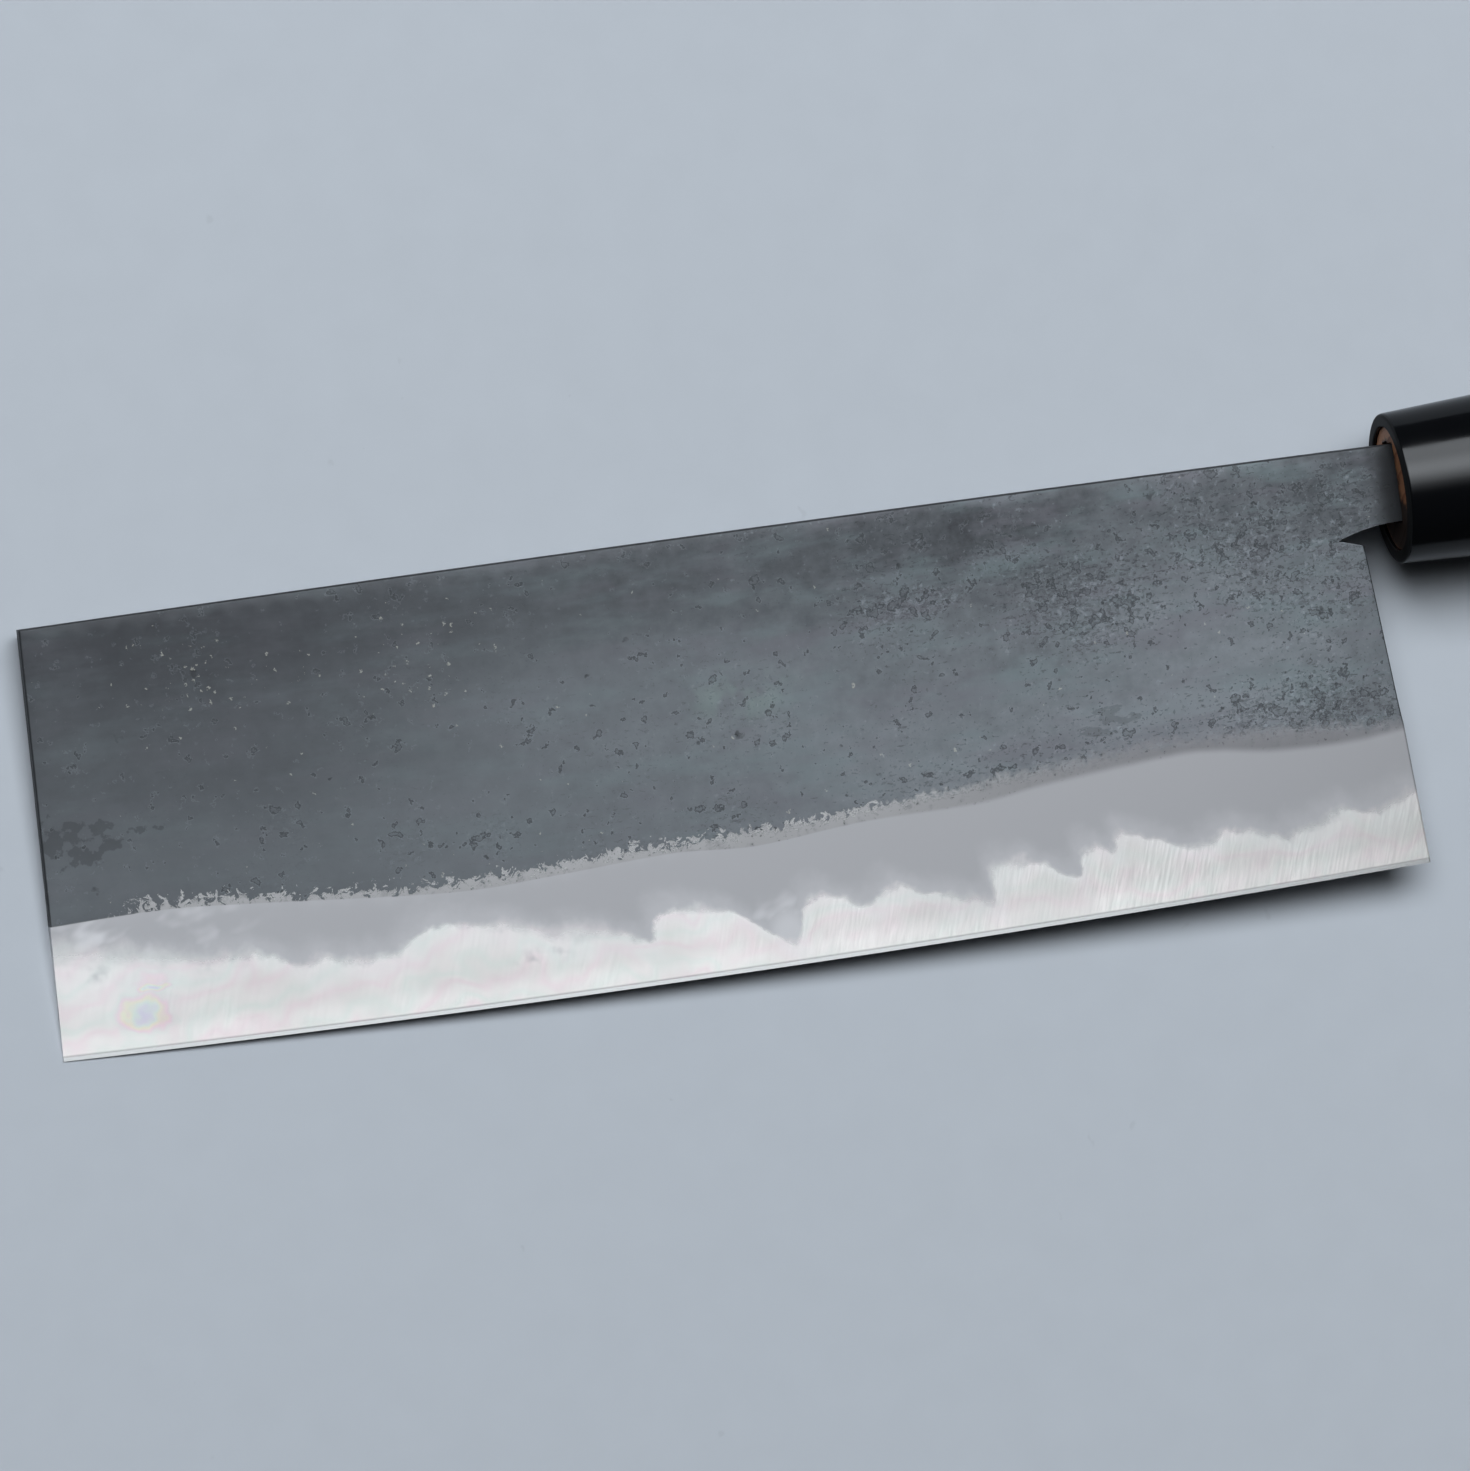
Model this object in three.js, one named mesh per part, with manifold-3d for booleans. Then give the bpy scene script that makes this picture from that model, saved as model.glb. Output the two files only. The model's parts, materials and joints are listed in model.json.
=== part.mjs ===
// Vegetable cleaver: a three-layer forged blade on a tang, a black oval ferrule and a wooden handle.
// Millimetres. The knife is drawn along +X from tip to butt, with its spine at Y = 0, its edge towards
// -Y and the middle plane of the blade at Z = 0. At the end it is laid on its right face.

import * as THREE from 'three';
import { mergeVertices } from 'three/addons/utils/BufferGeometryUtils.js';
import Module from 'manifold-3d';

// Blade outline
const edgeLength = 165; // straight from the tip's edge corner to the heel corner
const tipHeight = 49.5; // spine to edge at the tip
const heelHeight = 50; // spine to edge at the heel corner
const edgeBelly = 1.2; // how far the edge bows out between its corners
const spineCrown = 0.28; // how far the spine bows out between tip and neck
const tipLean = 1.3; // how far the tip's edge corner stands ahead of its spine corner
const heelLean = 3.8; // how far the heel corner stands behind the shoulder above it
const shoulderDepth = 11.8; // spine to the top of the heel
const shoulderRadius = 0.9; // rounding where the heel turns into the notch
const notchDepth = 2.6; // how far the notch cuts into the blade ahead of the shoulder
const notchRise = 1.2; // how far the notch's point lies above the shoulder
const neckLength = 4.4; // shoulder to the front of the ferrule
const neckHeight = 9.2; // spine to underside where the neck meets the ferrule
const neckHollow = 0.35; // how far the underside of the neck is curved in

// Blade section
const tipThickness = 2.3; // at the spine
const heelThickness = 3.4; // at the spine, above the heel
const flatTaper = 0.45; // degrees that each black face leans in from spine to grind line
const spineChamfer = 0.3;
const edgeThickness = 0.3; // where the wide bevel meets the cutting bevel
const cuttingBevel = 0.55; // height of the small bevel along the edge
const edgeLand = 0.04; // thickness left at the very edge

// Height of the grind line above the edge, along X: a hand-ground line, high towards the heel
const grindLine = [[-2, 15.5], [15, 16.5], [43, 14.8], [85, 16.6], [130, 19.3], [163, 16.8]];

// Height of the lamination line above the edge, along X: forged waves that rise sharply and fall slowly
const laminationLine = [
  [0, 12.4], [5, 11], [8, 12.2], [12, 10.4], [23, 9.8], [28, 7.8], [37, 7.4], [40, 8.2], [43, 10.6],
  [52, 9.2], [60, 7.2], [66, 6], [70, 9], [78, 7.6], [85, 3.6], [88, 8], [94, 6.4], [100, 6.6],
  [109, 4.2], [113, 8.4], [116, 8.5], [118.5, 6], [121.5, 9], [124.5, 7.3], [128, 9.1], [137, 6.6],
  [140, 8], [146.5, 5.2], [150, 6.6], [163, 7.4],
];
const tangCore = 1.2; // thickness of the hard core in the tang
const weldSeam = 0.02; // width of the seam between two layers

// Tang
const tangLength = 85; // from the front of the ferrule to the tang's end
const tangEndHeight = 4;
const tangEndThickness = 2;

// Handle
const handleLength = 125; // ferrule front to butt
const axisDepth = 5.3; // spine to the handle's axis at the front of the ferrule
const handleRise = 1.1; // degrees by which the handle rises from the line of the spine
const ferruleLength = 26;
const ferruleWall = 1.55; // at the open front
const ferruleRim = 0.45; // rounding of the front rim
const woodRecess = 0.5; // from the front rim in to the wood
const frontHeight = 18;
const frontWidth = 14.4;
const jointHeight = 20.5; // where the ferrule meets the wood
const jointWidth = 16.6;
const buttHeight = 25;
const buttWidth = 20;
const buttRounding = 2;
const tenonClearance = 0.1; // round the tenon and at its shoulder
const socketClearance = 0.5; // round the tang, burnt into the wood

// Fineness of the facets
const bladeStep = 3; // between blade stations
const ovalSides = 48;
const handleRings = 14;
const roundingSteps = 4;

const rad = THREE.MathUtils.degToRad;
const lerp = THREE.MathUtils.lerp;

// Places along the knife
const heelX = edgeLength - tipLean;
const shoulderX = heelX - heelLean;
const ferruleX = shoulderX + neckLength;
const tangEndX = ferruleX + tangLength;
const spare = 5; // how far cutting bodies reach past what they cut
const tipX = (y) => (tipLean * y) / tipHeight;
const axisY = (x) => -axisDepth + (x - ferruleX) * Math.tan(rad(handleRise));
const gripStart = ferruleLength + tenonClearance; // along the handle's axis from the ferrule's front
const gripEnd = handleLength - buttRounding;

// Value of a line of [x, value] corners at x, level past both ends
function alongLine(line, x) {
  const next = line.findIndex((corner) => corner[0] >= x);
  if (next === 0) return line[0][1];
  if (next < 0) return line[line.length - 1][1];
  const [x0, v0] = line[next - 1];
  const [x1, v1] = line[next];
  return lerp(v0, v1, (x - x0) / (x1 - x0));
}

// A smooth curve through the corners of a line, as closer corners
function smoothLine(line) {
  const curve = new THREE.SplineCurve(line.map(([x, v]) => new THREE.Vector2(x, v)));
  const pieces = (line.length - 1) * 8;
  return curve.getPoints(pieces).map((point) => [point.x, point.y]);
}

// Blade surface
const bow = (x, x0, x1, rise) => {
  const share = THREE.MathUtils.clamp((x - x0) / (x1 - x0), 0, 1);
  return 4 * rise * share * (1 - share);
};
const grindCurve = smoothLine(grindLine);
const spineY = (x) => bow(x, 0, ferruleX, spineCrown);
const edgeY = (x) => -lerp(tipHeight, heelHeight, (x + tipLean) / edgeLength) - bow(x, -tipLean, heelX, edgeBelly);
const grindY = (x) => edgeY(x) + alongLine(grindCurve, x);

// Half thickness of the black flats, level planes up to the ferrule, then thinning along the tang
function flatHalf(x, y) {
  const reach = Math.min(x, ferruleX);
  const atSpine = lerp(tipThickness, heelThickness, reach / heelX) / 2;
  const half = atSpine + y * Math.tan(rad(flatTaper));
  const along = Math.max(0, x - ferruleX) / tangLength;
  return lerp(half, tangEndThickness / 2, along);
}

// Half thickness on the wide bevel
function bevelHalf(x, height) {
  const top = alongLine(grindCurve, x);
  const share = (height - cuttingBevel) / (top - cuttingBevel);
  return lerp(edgeThickness / 2, flatHalf(x, grindY(x)), share);
}

// Geometry of a skin over rings of like points, with flat ends or closed on itself
function loft(rings, closed = false) {
  const sides = rings[0].length;
  const index = [];
  const bands = closed ? rings.length : rings.length - 1;
  for (let band = 0; band < bands; band += 1) {
    const here = band * sides;
    const there = ((band + 1) % rings.length) * sides;
    for (let side = 0; side < sides; side += 1) {
      const next = (side + 1) % sides;
      index.push(here + side, here + next, there + next);
      index.push(here + side, there + next, there + side);
    }
  }
  if (!closed) {
    const last = (rings.length - 1) * sides;
    for (let side = 1; side < sides - 1; side += 1) {
      index.push(0, side + 1, side);
      index.push(last, last + side, last + side + 1);
    }
  }
  const geometry = new THREE.BufferGeometry().setFromPoints(rings.flat());
  geometry.setIndex(index);
  return geometry;
}

// Joining and cutting
const wasm = await Module();
wasm.setup();

function solid(geometry) {
  const bare = new THREE.BufferGeometry();
  bare.setAttribute('position', geometry.getAttribute('position'));
  bare.setIndex(geometry.getIndex());
  const merged = mergeVertices(bare);
  const vertProperties = Float32Array.from(merged.getAttribute('position').array);
  const triVerts = Uint32Array.from(merged.getIndex().array);
  return new wasm.Manifold(new wasm.Mesh({ numProp: 3, vertProperties, triVerts }));
}

function geometryOf(body) {
  const { vertProperties, triVerts } = body.getMesh();
  const geometry = new THREE.BufferGeometry();
  geometry.setAttribute('position', new THREE.BufferAttribute(Float32Array.from(vertProperties), 3));
  geometry.setIndex(new THREE.BufferAttribute(Uint32Array.from(triVerts), 1));
  return geometry;
}

// Ring across the blade, wound so that the skin faces out along +X
function bladeSection(x) {
  const corners = [
    [spineY(x), flatHalf(x, spineY(x)) - spineChamfer],
    [spineY(x) - spineChamfer, flatHalf(x, spineY(x) - spineChamfer)],
    [grindY(x), flatHalf(x, grindY(x))],
    [edgeY(x) + cuttingBevel, edgeThickness / 2],
    [edgeY(x), edgeLand / 2],
  ];
  const left = corners.map(([y, z]) => new THREE.Vector3(x, y, z));
  const right = corners.map(([y, z]) => new THREE.Vector3(x, y, -z)).reverse();
  return [...right, ...left];
}

// Evenly spaced stations from one place along the knife to another
function stations(from, to, step) {
  const count = Math.max(1, Math.round((to - from) / step));
  return Array.from({ length: count + 1 }, (_, i) => lerp(from, to, i / count));
}

// Outline of blade, neck and tang, open past the spine and the edge, which the section gives
function bladeOutline() {
  const heelSlope = heelLean / (heelHeight - shoulderDepth);
  const below = heelHeight + edgeBelly + spare;
  const above = spineCrown + spare;
  const notchX = shoulderX - notchDepth;
  const notchY = notchRise - shoulderDepth;
  const shape = new THREE.Shape();
  shape.moveTo(tipX(above), above);
  shape.lineTo(ferruleX, above);
  shape.lineTo(ferruleX, 0);
  shape.lineTo(tangEndX, axisY(tangEndX) + tangEndHeight / 2);
  shape.lineTo(tangEndX, axisY(tangEndX) - tangEndHeight / 2);
  shape.lineTo(ferruleX, -neckHeight);
  shape.quadraticCurveTo(
    (ferruleX + notchX) / 2,
    (notchY - neckHeight) / 2 + neckHollow * 2,
    notchX,
    notchY,
  );
  shape.lineTo(shoulderX - shoulderRadius, -shoulderDepth + notchRise * (shoulderRadius / notchDepth));
  shape.quadraticCurveTo(
    shoulderX,
    -shoulderDepth,
    shoulderX + heelSlope * shoulderRadius,
    -shoulderDepth - shoulderRadius,
  );
  shape.lineTo(shoulderX + heelSlope * (below - shoulderDepth), -below);
  shape.lineTo(tipX(-below), -below);
  shape.closePath();
  return shape;
}

// Whole blade before it is parted into layers
function bladeBody() {
  const bladeStations = stations(-tipLean - spare, ferruleX, bladeStep);
  const skin = loft([...bladeStations, tangEndX + spare].map(bladeSection));
  const depth = Math.max(tipThickness, heelThickness) + 2 * spare;
  const sheet = new THREE.ExtrudeGeometry(bladeOutline(), { depth, bevelEnabled: false, curveSegments: 6 });
  sheet.translate(0, 0, -depth / 2);
  return solid(skin).intersect(solid(sheet));
}

// Half thickness of the hard core: it comes out of the bevel along the lamination line
function coreHalf(x) {
  if (x > ferruleX) return tangCore / 2;
  return bevelHalf(x, alongLine(laminationLine, x));
}

// Body between two heights that change along the knife, as wide as the whole blade
function layer(low, high) {
  const places = laminationLine.map(([x]) => x).filter((x) => x < heelX);
  const ends = [-tipLean - spare, ...places, heelX, ferruleX + neckLength, tangEndX + spare];
  const top = spineCrown + 2 * spare;
  const bottom = -heelHeight - edgeBelly - 2 * spare;
  return solid(loft(ends.map((x) => [
    new THREE.Vector3(x, bottom, low(x)),
    new THREE.Vector3(x, top, low(x)),
    new THREE.Vector3(x, top, high(x)),
    new THREE.Vector3(x, bottom, high(x)),
  ])));
}

// Oval ring across the handle, with one point straight down and one straight up
function oval(s, height, width) {
  return Array.from({ length: ovalSides }, (_, i) => {
    const turn = (2 * Math.PI * i) / ovalSides;
    return new THREE.Vector3(s, (Math.cos(turn) * height) / 2, (Math.sin(turn) * width) / 2);
  });
}

// Smooth swell of the handle through its front, joint and butt sizes
function swell(s, front, joint, butt) {
  const a = (s - ferruleLength) * (s - handleLength) / (ferruleLength * handleLength);
  const b = s * (s - handleLength) / (ferruleLength * (ferruleLength - handleLength));
  const c = s * (s - ferruleLength) / (handleLength * (handleLength - ferruleLength));
  return a * front + b * joint + c * butt;
}

const gripStations = () => stations(gripStart, gripEnd, (gripEnd - gripStart) / handleRings);

function handleOval(s, inset = 0) {
  const height = swell(s, frontHeight, jointHeight, buttHeight);
  const width = swell(s, frontWidth, jointWidth, buttWidth);
  return oval(s, height - 2 * inset, width - 2 * inset);
}

// Rings round a quarter-round edge that starts at s and goes in by the radius
function roundedEdge(s, radius, facing) {
  return Array.from({ length: roundingSteps + 1 }, (_, i) => {
    const turn = (Math.PI / 2) * (i / roundingSteps);
    return handleOval(s - facing * radius * (1 - Math.sin(turn)), radius * (1 - Math.cos(turn)));
  });
}

function ferruleGeometry() {
  const boreHeight = frontHeight - 2 * ferruleWall;
  const boreWidth = frontWidth - 2 * ferruleWall;
  const rim = roundedEdge(0, ferruleRim, -1).reverse();
  const outer = stations(ferruleRim, ferruleLength, ferruleLength / 4).slice(1).map((s) => handleOval(s));
  const inner = [oval(ferruleLength, boreHeight, boreWidth), oval(0, boreHeight, boreWidth)];
  return loft([...rim, ...outer, ...inner], true);
}

// Socket for the tang: its own outline and thickness, let out all round by the clearance
function socketBody(frame) {
  const front = ferruleX + woodRecess - spare;
  const section = (x) => {
    const share = (x - ferruleX) / tangLength;
    const top = lerp(0, axisY(tangEndX) + tangEndHeight / 2, share) + socketClearance;
    const bottom = lerp(-neckHeight, axisY(tangEndX) - tangEndHeight / 2, share) - socketClearance;
    const half = lerp(flatHalf(ferruleX, 0), tangEndThickness / 2, share) + socketClearance;
    const ring = [[bottom, -half], [top, -half], [top, half], [bottom, half]];
    return ring.map(([y, z]) => frame.worldToLocal(new THREE.Vector3(x, y, z)));
  };
  return solid(loft([section(front), section(tangEndX + socketClearance)]));
}

function handleGeometry(frame) {
  const tenonHeight = frontHeight - 2 * (ferruleWall + tenonClearance);
  const tenonWidth = frontWidth - 2 * (ferruleWall + tenonClearance);
  const tenon = [woodRecess, gripStart].map((s) => oval(s, tenonHeight, tenonWidth));
  const grip = gripStations().map((s) => handleOval(s));
  const butt = roundedEdge(handleLength, buttRounding, 1).slice(1);
  const wood = solid(loft([...tenon, ...grip, ...butt]));
  return geometryOf(wood.subtract(socketBody(frame)));
}

// Finishes
const finish = (color, roughness, metalness) => new THREE.MeshStandardMaterial({ color, roughness, metalness });
const forgedIron = finish('#4a4f55', 0.55, 0.8);
const edgeSteel = finish('#d9dadb', 0.25, 1);
const blackResin = finish('#121417', 0.18, 0);
const magnolia = finish('#b98a5a', 0.6, 0);

function piece(name, geometry, material) {
  const mesh = new THREE.Mesh(geometry, material);
  mesh.name = name;
  geometry.computeVertexNormals();
  return mesh;
}

// Blade: one forged body, parted into its layers
const blade = bladeBody();
const outside = heelThickness + tipThickness + spare;
const core = blade.intersect(layer((x) => -coreHalf(x), coreHalf));
const left = blade.intersect(layer((x) => coreHalf(x) + weldSeam, () => outside));
const right = blade.intersect(layer(() => -outside, (x) => -coreHalf(x) - weldSeam));

const knife = new THREE.Group();
knife.add(
  piece('core_steel', geometryOf(core), edgeSteel),
  piece('cladding_left', geometryOf(left), forgedIron),
  piece('cladding_right', geometryOf(right), forgedIron),
);

// Handle: drawn along its own axis and set on the tang
const handle = new THREE.Group();
handle.position.set(ferruleX, -axisDepth, 0);
handle.rotation.z = rad(handleRise);
handle.updateMatrixWorld(true);
handle.add(
  piece('ferrule', ferruleGeometry(), blackResin),
  piece('handle_body', handleGeometry(handle), magnolia),
);
knife.add(handle);

// The table under the knife: it touches the tip end of the right bevel and swings up to the handle's underside
function tablePlane() {
  const tipCorner = (y, half) => new THREE.Vector3(tipX(y), y, -half);
  const grindTip = grindY(tipX(-tipHeight));
  const grindCorner = tipCorner(grindTip, flatHalf(tipX(grindTip), grindTip));
  const edgeCorner = tipCorner(cuttingBevel - tipHeight, edgeThickness / 2);
  const through = (point) => new THREE.Plane().setFromCoplanarPoints(grindCorner, edgeCorner, point);
  const underside = gripStations().map((s) => {
    const half = swell(s, frontWidth, jointWidth, buttWidth) / 2;
    return handle.localToWorld(new THREE.Vector3(s, 0, -half));
  });
  let table = through(underside[0]);
  for (const point of underside) {
    if (table.distanceToPoint(point) < 0) table = through(point);
  }
  return table;
}

// Lay the knife on that table, with the middle of its box over the origin
const part = new THREE.Group();
part.add(knife);
knife.quaternion.setFromUnitVectors(tablePlane().normal, new THREE.Vector3(0, 0, 1));
part.updateMatrixWorld(true);
const box = new THREE.Box3().setFromObject(knife, true);
const middle = box.getCenter(new THREE.Vector3());
knife.position.set(-middle.x, -middle.y, -box.min.z);
part.updateMatrixWorld(true);

export default part;
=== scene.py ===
"""Vegetable cleaver: the visible blade layers, ferrule, handle and studio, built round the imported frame."""

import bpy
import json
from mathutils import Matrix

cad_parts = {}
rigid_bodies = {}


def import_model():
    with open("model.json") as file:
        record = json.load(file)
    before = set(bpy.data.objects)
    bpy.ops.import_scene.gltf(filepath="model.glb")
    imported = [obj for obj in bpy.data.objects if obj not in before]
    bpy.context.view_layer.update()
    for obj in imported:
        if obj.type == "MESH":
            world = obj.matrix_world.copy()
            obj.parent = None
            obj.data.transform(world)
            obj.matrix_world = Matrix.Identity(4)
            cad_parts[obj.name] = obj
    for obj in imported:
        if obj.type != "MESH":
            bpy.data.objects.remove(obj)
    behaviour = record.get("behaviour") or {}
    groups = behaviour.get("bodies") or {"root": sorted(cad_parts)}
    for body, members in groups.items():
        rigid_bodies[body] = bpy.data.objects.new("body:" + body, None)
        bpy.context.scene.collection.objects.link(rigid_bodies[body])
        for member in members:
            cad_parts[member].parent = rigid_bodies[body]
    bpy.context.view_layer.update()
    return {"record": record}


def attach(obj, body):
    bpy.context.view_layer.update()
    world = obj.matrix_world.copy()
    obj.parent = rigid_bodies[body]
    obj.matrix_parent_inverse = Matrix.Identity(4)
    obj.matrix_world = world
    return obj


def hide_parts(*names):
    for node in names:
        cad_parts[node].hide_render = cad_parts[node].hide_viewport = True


bl_info = {
    "name": "Vegetable cleaver",
    "version": (1, 0, 0),
    "blender": (4, 5, 0),
    "location": "3D View > Sidebar > Cleaver",
    "description": "Builds a forged, laminated vegetable cleaver and its studio round a packed frame",
    "category": "Object",
}

import json
import math
from functools import partial

import bmesh
import bpy
from bpy.props import FloatProperty, FloatVectorProperty, PointerProperty
from mathutils import Matrix, Quaternion, Vector, geometry, kdtree, noise

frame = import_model()

MM = 0.001

# Drawn lines, in millimetres: place along the blade from the tip, height above the edge
GRIND_LINE = [(-2, 15.5), (15, 16.5), (43, 14.8), (85, 16.6), (130, 19.3), (163, 16.8)]
SMOOTH_LINE = [
    (-2, 15.4), (12, 16), (24, 15.4), (46, 13.9), (58, 14.3), (72, 15), (82, 14.5), (95, 15.5), (109, 15.6),
    (118, 16.6), (133, 17.6), (139, 17.3), (146, 16.2), (156, 15.8), (164, 16.5),
]
WELD_LINE = [
    (0, 12.4), (5, 11), (8, 12.2), (12, 10.4), (23, 9.8), (28, 7.8), (37, 7.4), (40, 8.2),
    (43, 10.6), (52, 9.2), (60, 7.2), (66, 6), (70, 9), (78, 7.6), (85, 3.6), (88, 8), (94, 6.4),
    (100, 6.6), (109, 4.2), (113, 8.4), (116, 8.5), (118.5, 6), (121.5, 9), (124.5, 7.3),
    (128, 9.1), (137, 6.6), (140, 8), (146.5, 5.2), (150, 6.6), (163, 7.4),
]

# Limit of the bright polish in mm, finer than the weld itself: along the blade plus half the rise,
# so that the leaning wave fronts do not fold back, and rise above the edge
POLISH_LEAN = 0.5
POLISH_LINE = [
    (5, 11.8), (8, 11.7), (11, 11.1), (14, 11), (15, 10.4), (19.5, 9.9), (20.5, 9.2), (22, 9.5), (28, 9.6),
    (31, 7.4), (34, 8.3), (36.5, 7.3), (42.5, 7.5), (45.5, 9.1), (48.5, 10.2), (51, 10.1), (57.5, 8.9),
    (61, 7.1), (65.5, 7.2), (71.2, 5), (72, 6.8), (73.5, 8), (77, 8.5), (82, 7.2), (86, 2.7), (87.5, 2.9),
    (90.5, 6.8), (92, 7.6), (94, 7.5), (97.5, 5.4), (102, 7.5), (104, 6.4), (108.5, 4.6), (110, 4.8),
    (111, 3.8), (112.4, 4.2), (113.3, 7.6), (116, 7.7), (118.5, 8.1), (122.5, 5.4), (123.7, 5.6),
    (124.6, 7.9), (127.5, 8.3), (128.7, 7), (129.5, 8.4), (130.6, 9.7), (138.5, 6), (140, 6.3),
    (142.5, 7.8), (145, 7.5), (149.5, 5.2), (150.5, 6.4), (153.5, 6.5), (157.5, 7.9), (159, 8), (159.7, 7),
    (161.5, 7), (167, 8.8),
]

# Fineness of the meshes
SHEET_STEP = 1.0 * MM  # along the blade's outline and creases
SHEET_GRID = 2.0 * MM  # between points inside the outline
SHEET_ROW = 0.87 * SHEET_GRID  # between the staggered rows of these points
SHEET_CLEAR = 0.6 * SHEET_STEP  # least distance of these points from a line
HEEL_SHARE = 0.03  # of the heel, from point to point
TANG_SHARE = 0.05  # of the tang, from point to point
OVAL_SIDES = 96
FERRULE_STEP = 2 * MM
GRIP_STEP = 4 * MM
TENON_STEP = 5 * MM
MERGE = 1e-8  # two points of the net closer than this are one
THIN = 1e-7  # two skins closer than this are one
ON_WELD = 3e-6  # a triangle whose corners stand less than this above the weld, in all, lies below it

# The hammered flats: length and height of their waves, and how far above the grind line the waves and
# the worn rim come in
WAVE_LENGTH = 15
WAVE_HEIGHT = 10
WAVE_EASE = 3 * MM
WEAR_EASE = 2 * MM


def linear(code):
    """Linear colour with alpha from an sRGB hex code."""
    values = [int(code[i:i + 2], 16) / 255 for i in (1, 3, 5)]
    return tuple(v / 12.92 if v <= 0.04045 else ((v + 0.055) / 1.055) ** 2.4 for v in values) + (1.0,)


def size(name, millimetres, text):
    """Length property with its default in millimetres."""
    return FloatProperty(name=name, description=text, default=millimetres * MM, unit="LENGTH", precision=5)


def turn(name, degrees, text):
    """Angle property with its default in degrees."""
    return FloatProperty(name=name, description=text, default=math.radians(degrees), unit="ROTATION")


def brightness(name, value, text):
    """Brightness property, 1 for plain white."""
    return FloatProperty(name=name, description=text, default=value)


def tone(name, code, text):
    """Colour property with its default as an sRGB hex code."""
    return FloatVectorProperty(
        name=name, description=text, default=linear(code), size=4, subtype="COLOR", min=0.0, max=1.0)


def lerp(a, b, share):
    return a + (b - a) * share


def steps(start, end, step):
    """Even steps from start to end, both included."""
    count = max(1, round(abs(end - start) / step))
    return [lerp(start, end, i / count) for i in range(count + 1)]


def smooth_line(corners):
    """A smooth curve through the corners of a line, as closer corners."""
    ends = [corners[0], *corners, corners[-1]]
    made = []
    for p0, p1, p2, p3 in zip(ends, ends[1:], ends[2:], ends[3:]):
        for i in range(8):
            t = i / 8
            made.append(tuple(
                (2 * b - 2 * c + (c - a + d - b) / 2) * t ** 3
                + (3 * c - 3 * b - (c - a) - (d - b) / 2) * t ** 2
                + (c - a) / 2 * t + b
                for a, b, c, d in zip(p0, p1, p2, p3)))
    return made + [corners[-1]]


def on_line(line, x):
    """Value of a line of corners at x, level past both ends."""
    if x <= line[0][0]:
        return line[0][1]
    for (x0, v0), (x1, v1) in zip(line, line[1:]):
        if x <= x1:
            return lerp(v0, v1, (x - x0) / (x1 - x0))
    return line[-1][1]


def bend(start, pull, end, count=6):
    """Points of a quadratic curve, without its end."""
    points = []
    for i in range(count):
        t = i / count
        points.append(lerp(lerp(start, pull, t), lerp(pull, end, t), t))
    return points


GRIND_CURVE = smooth_line(GRIND_LINE)


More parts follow.
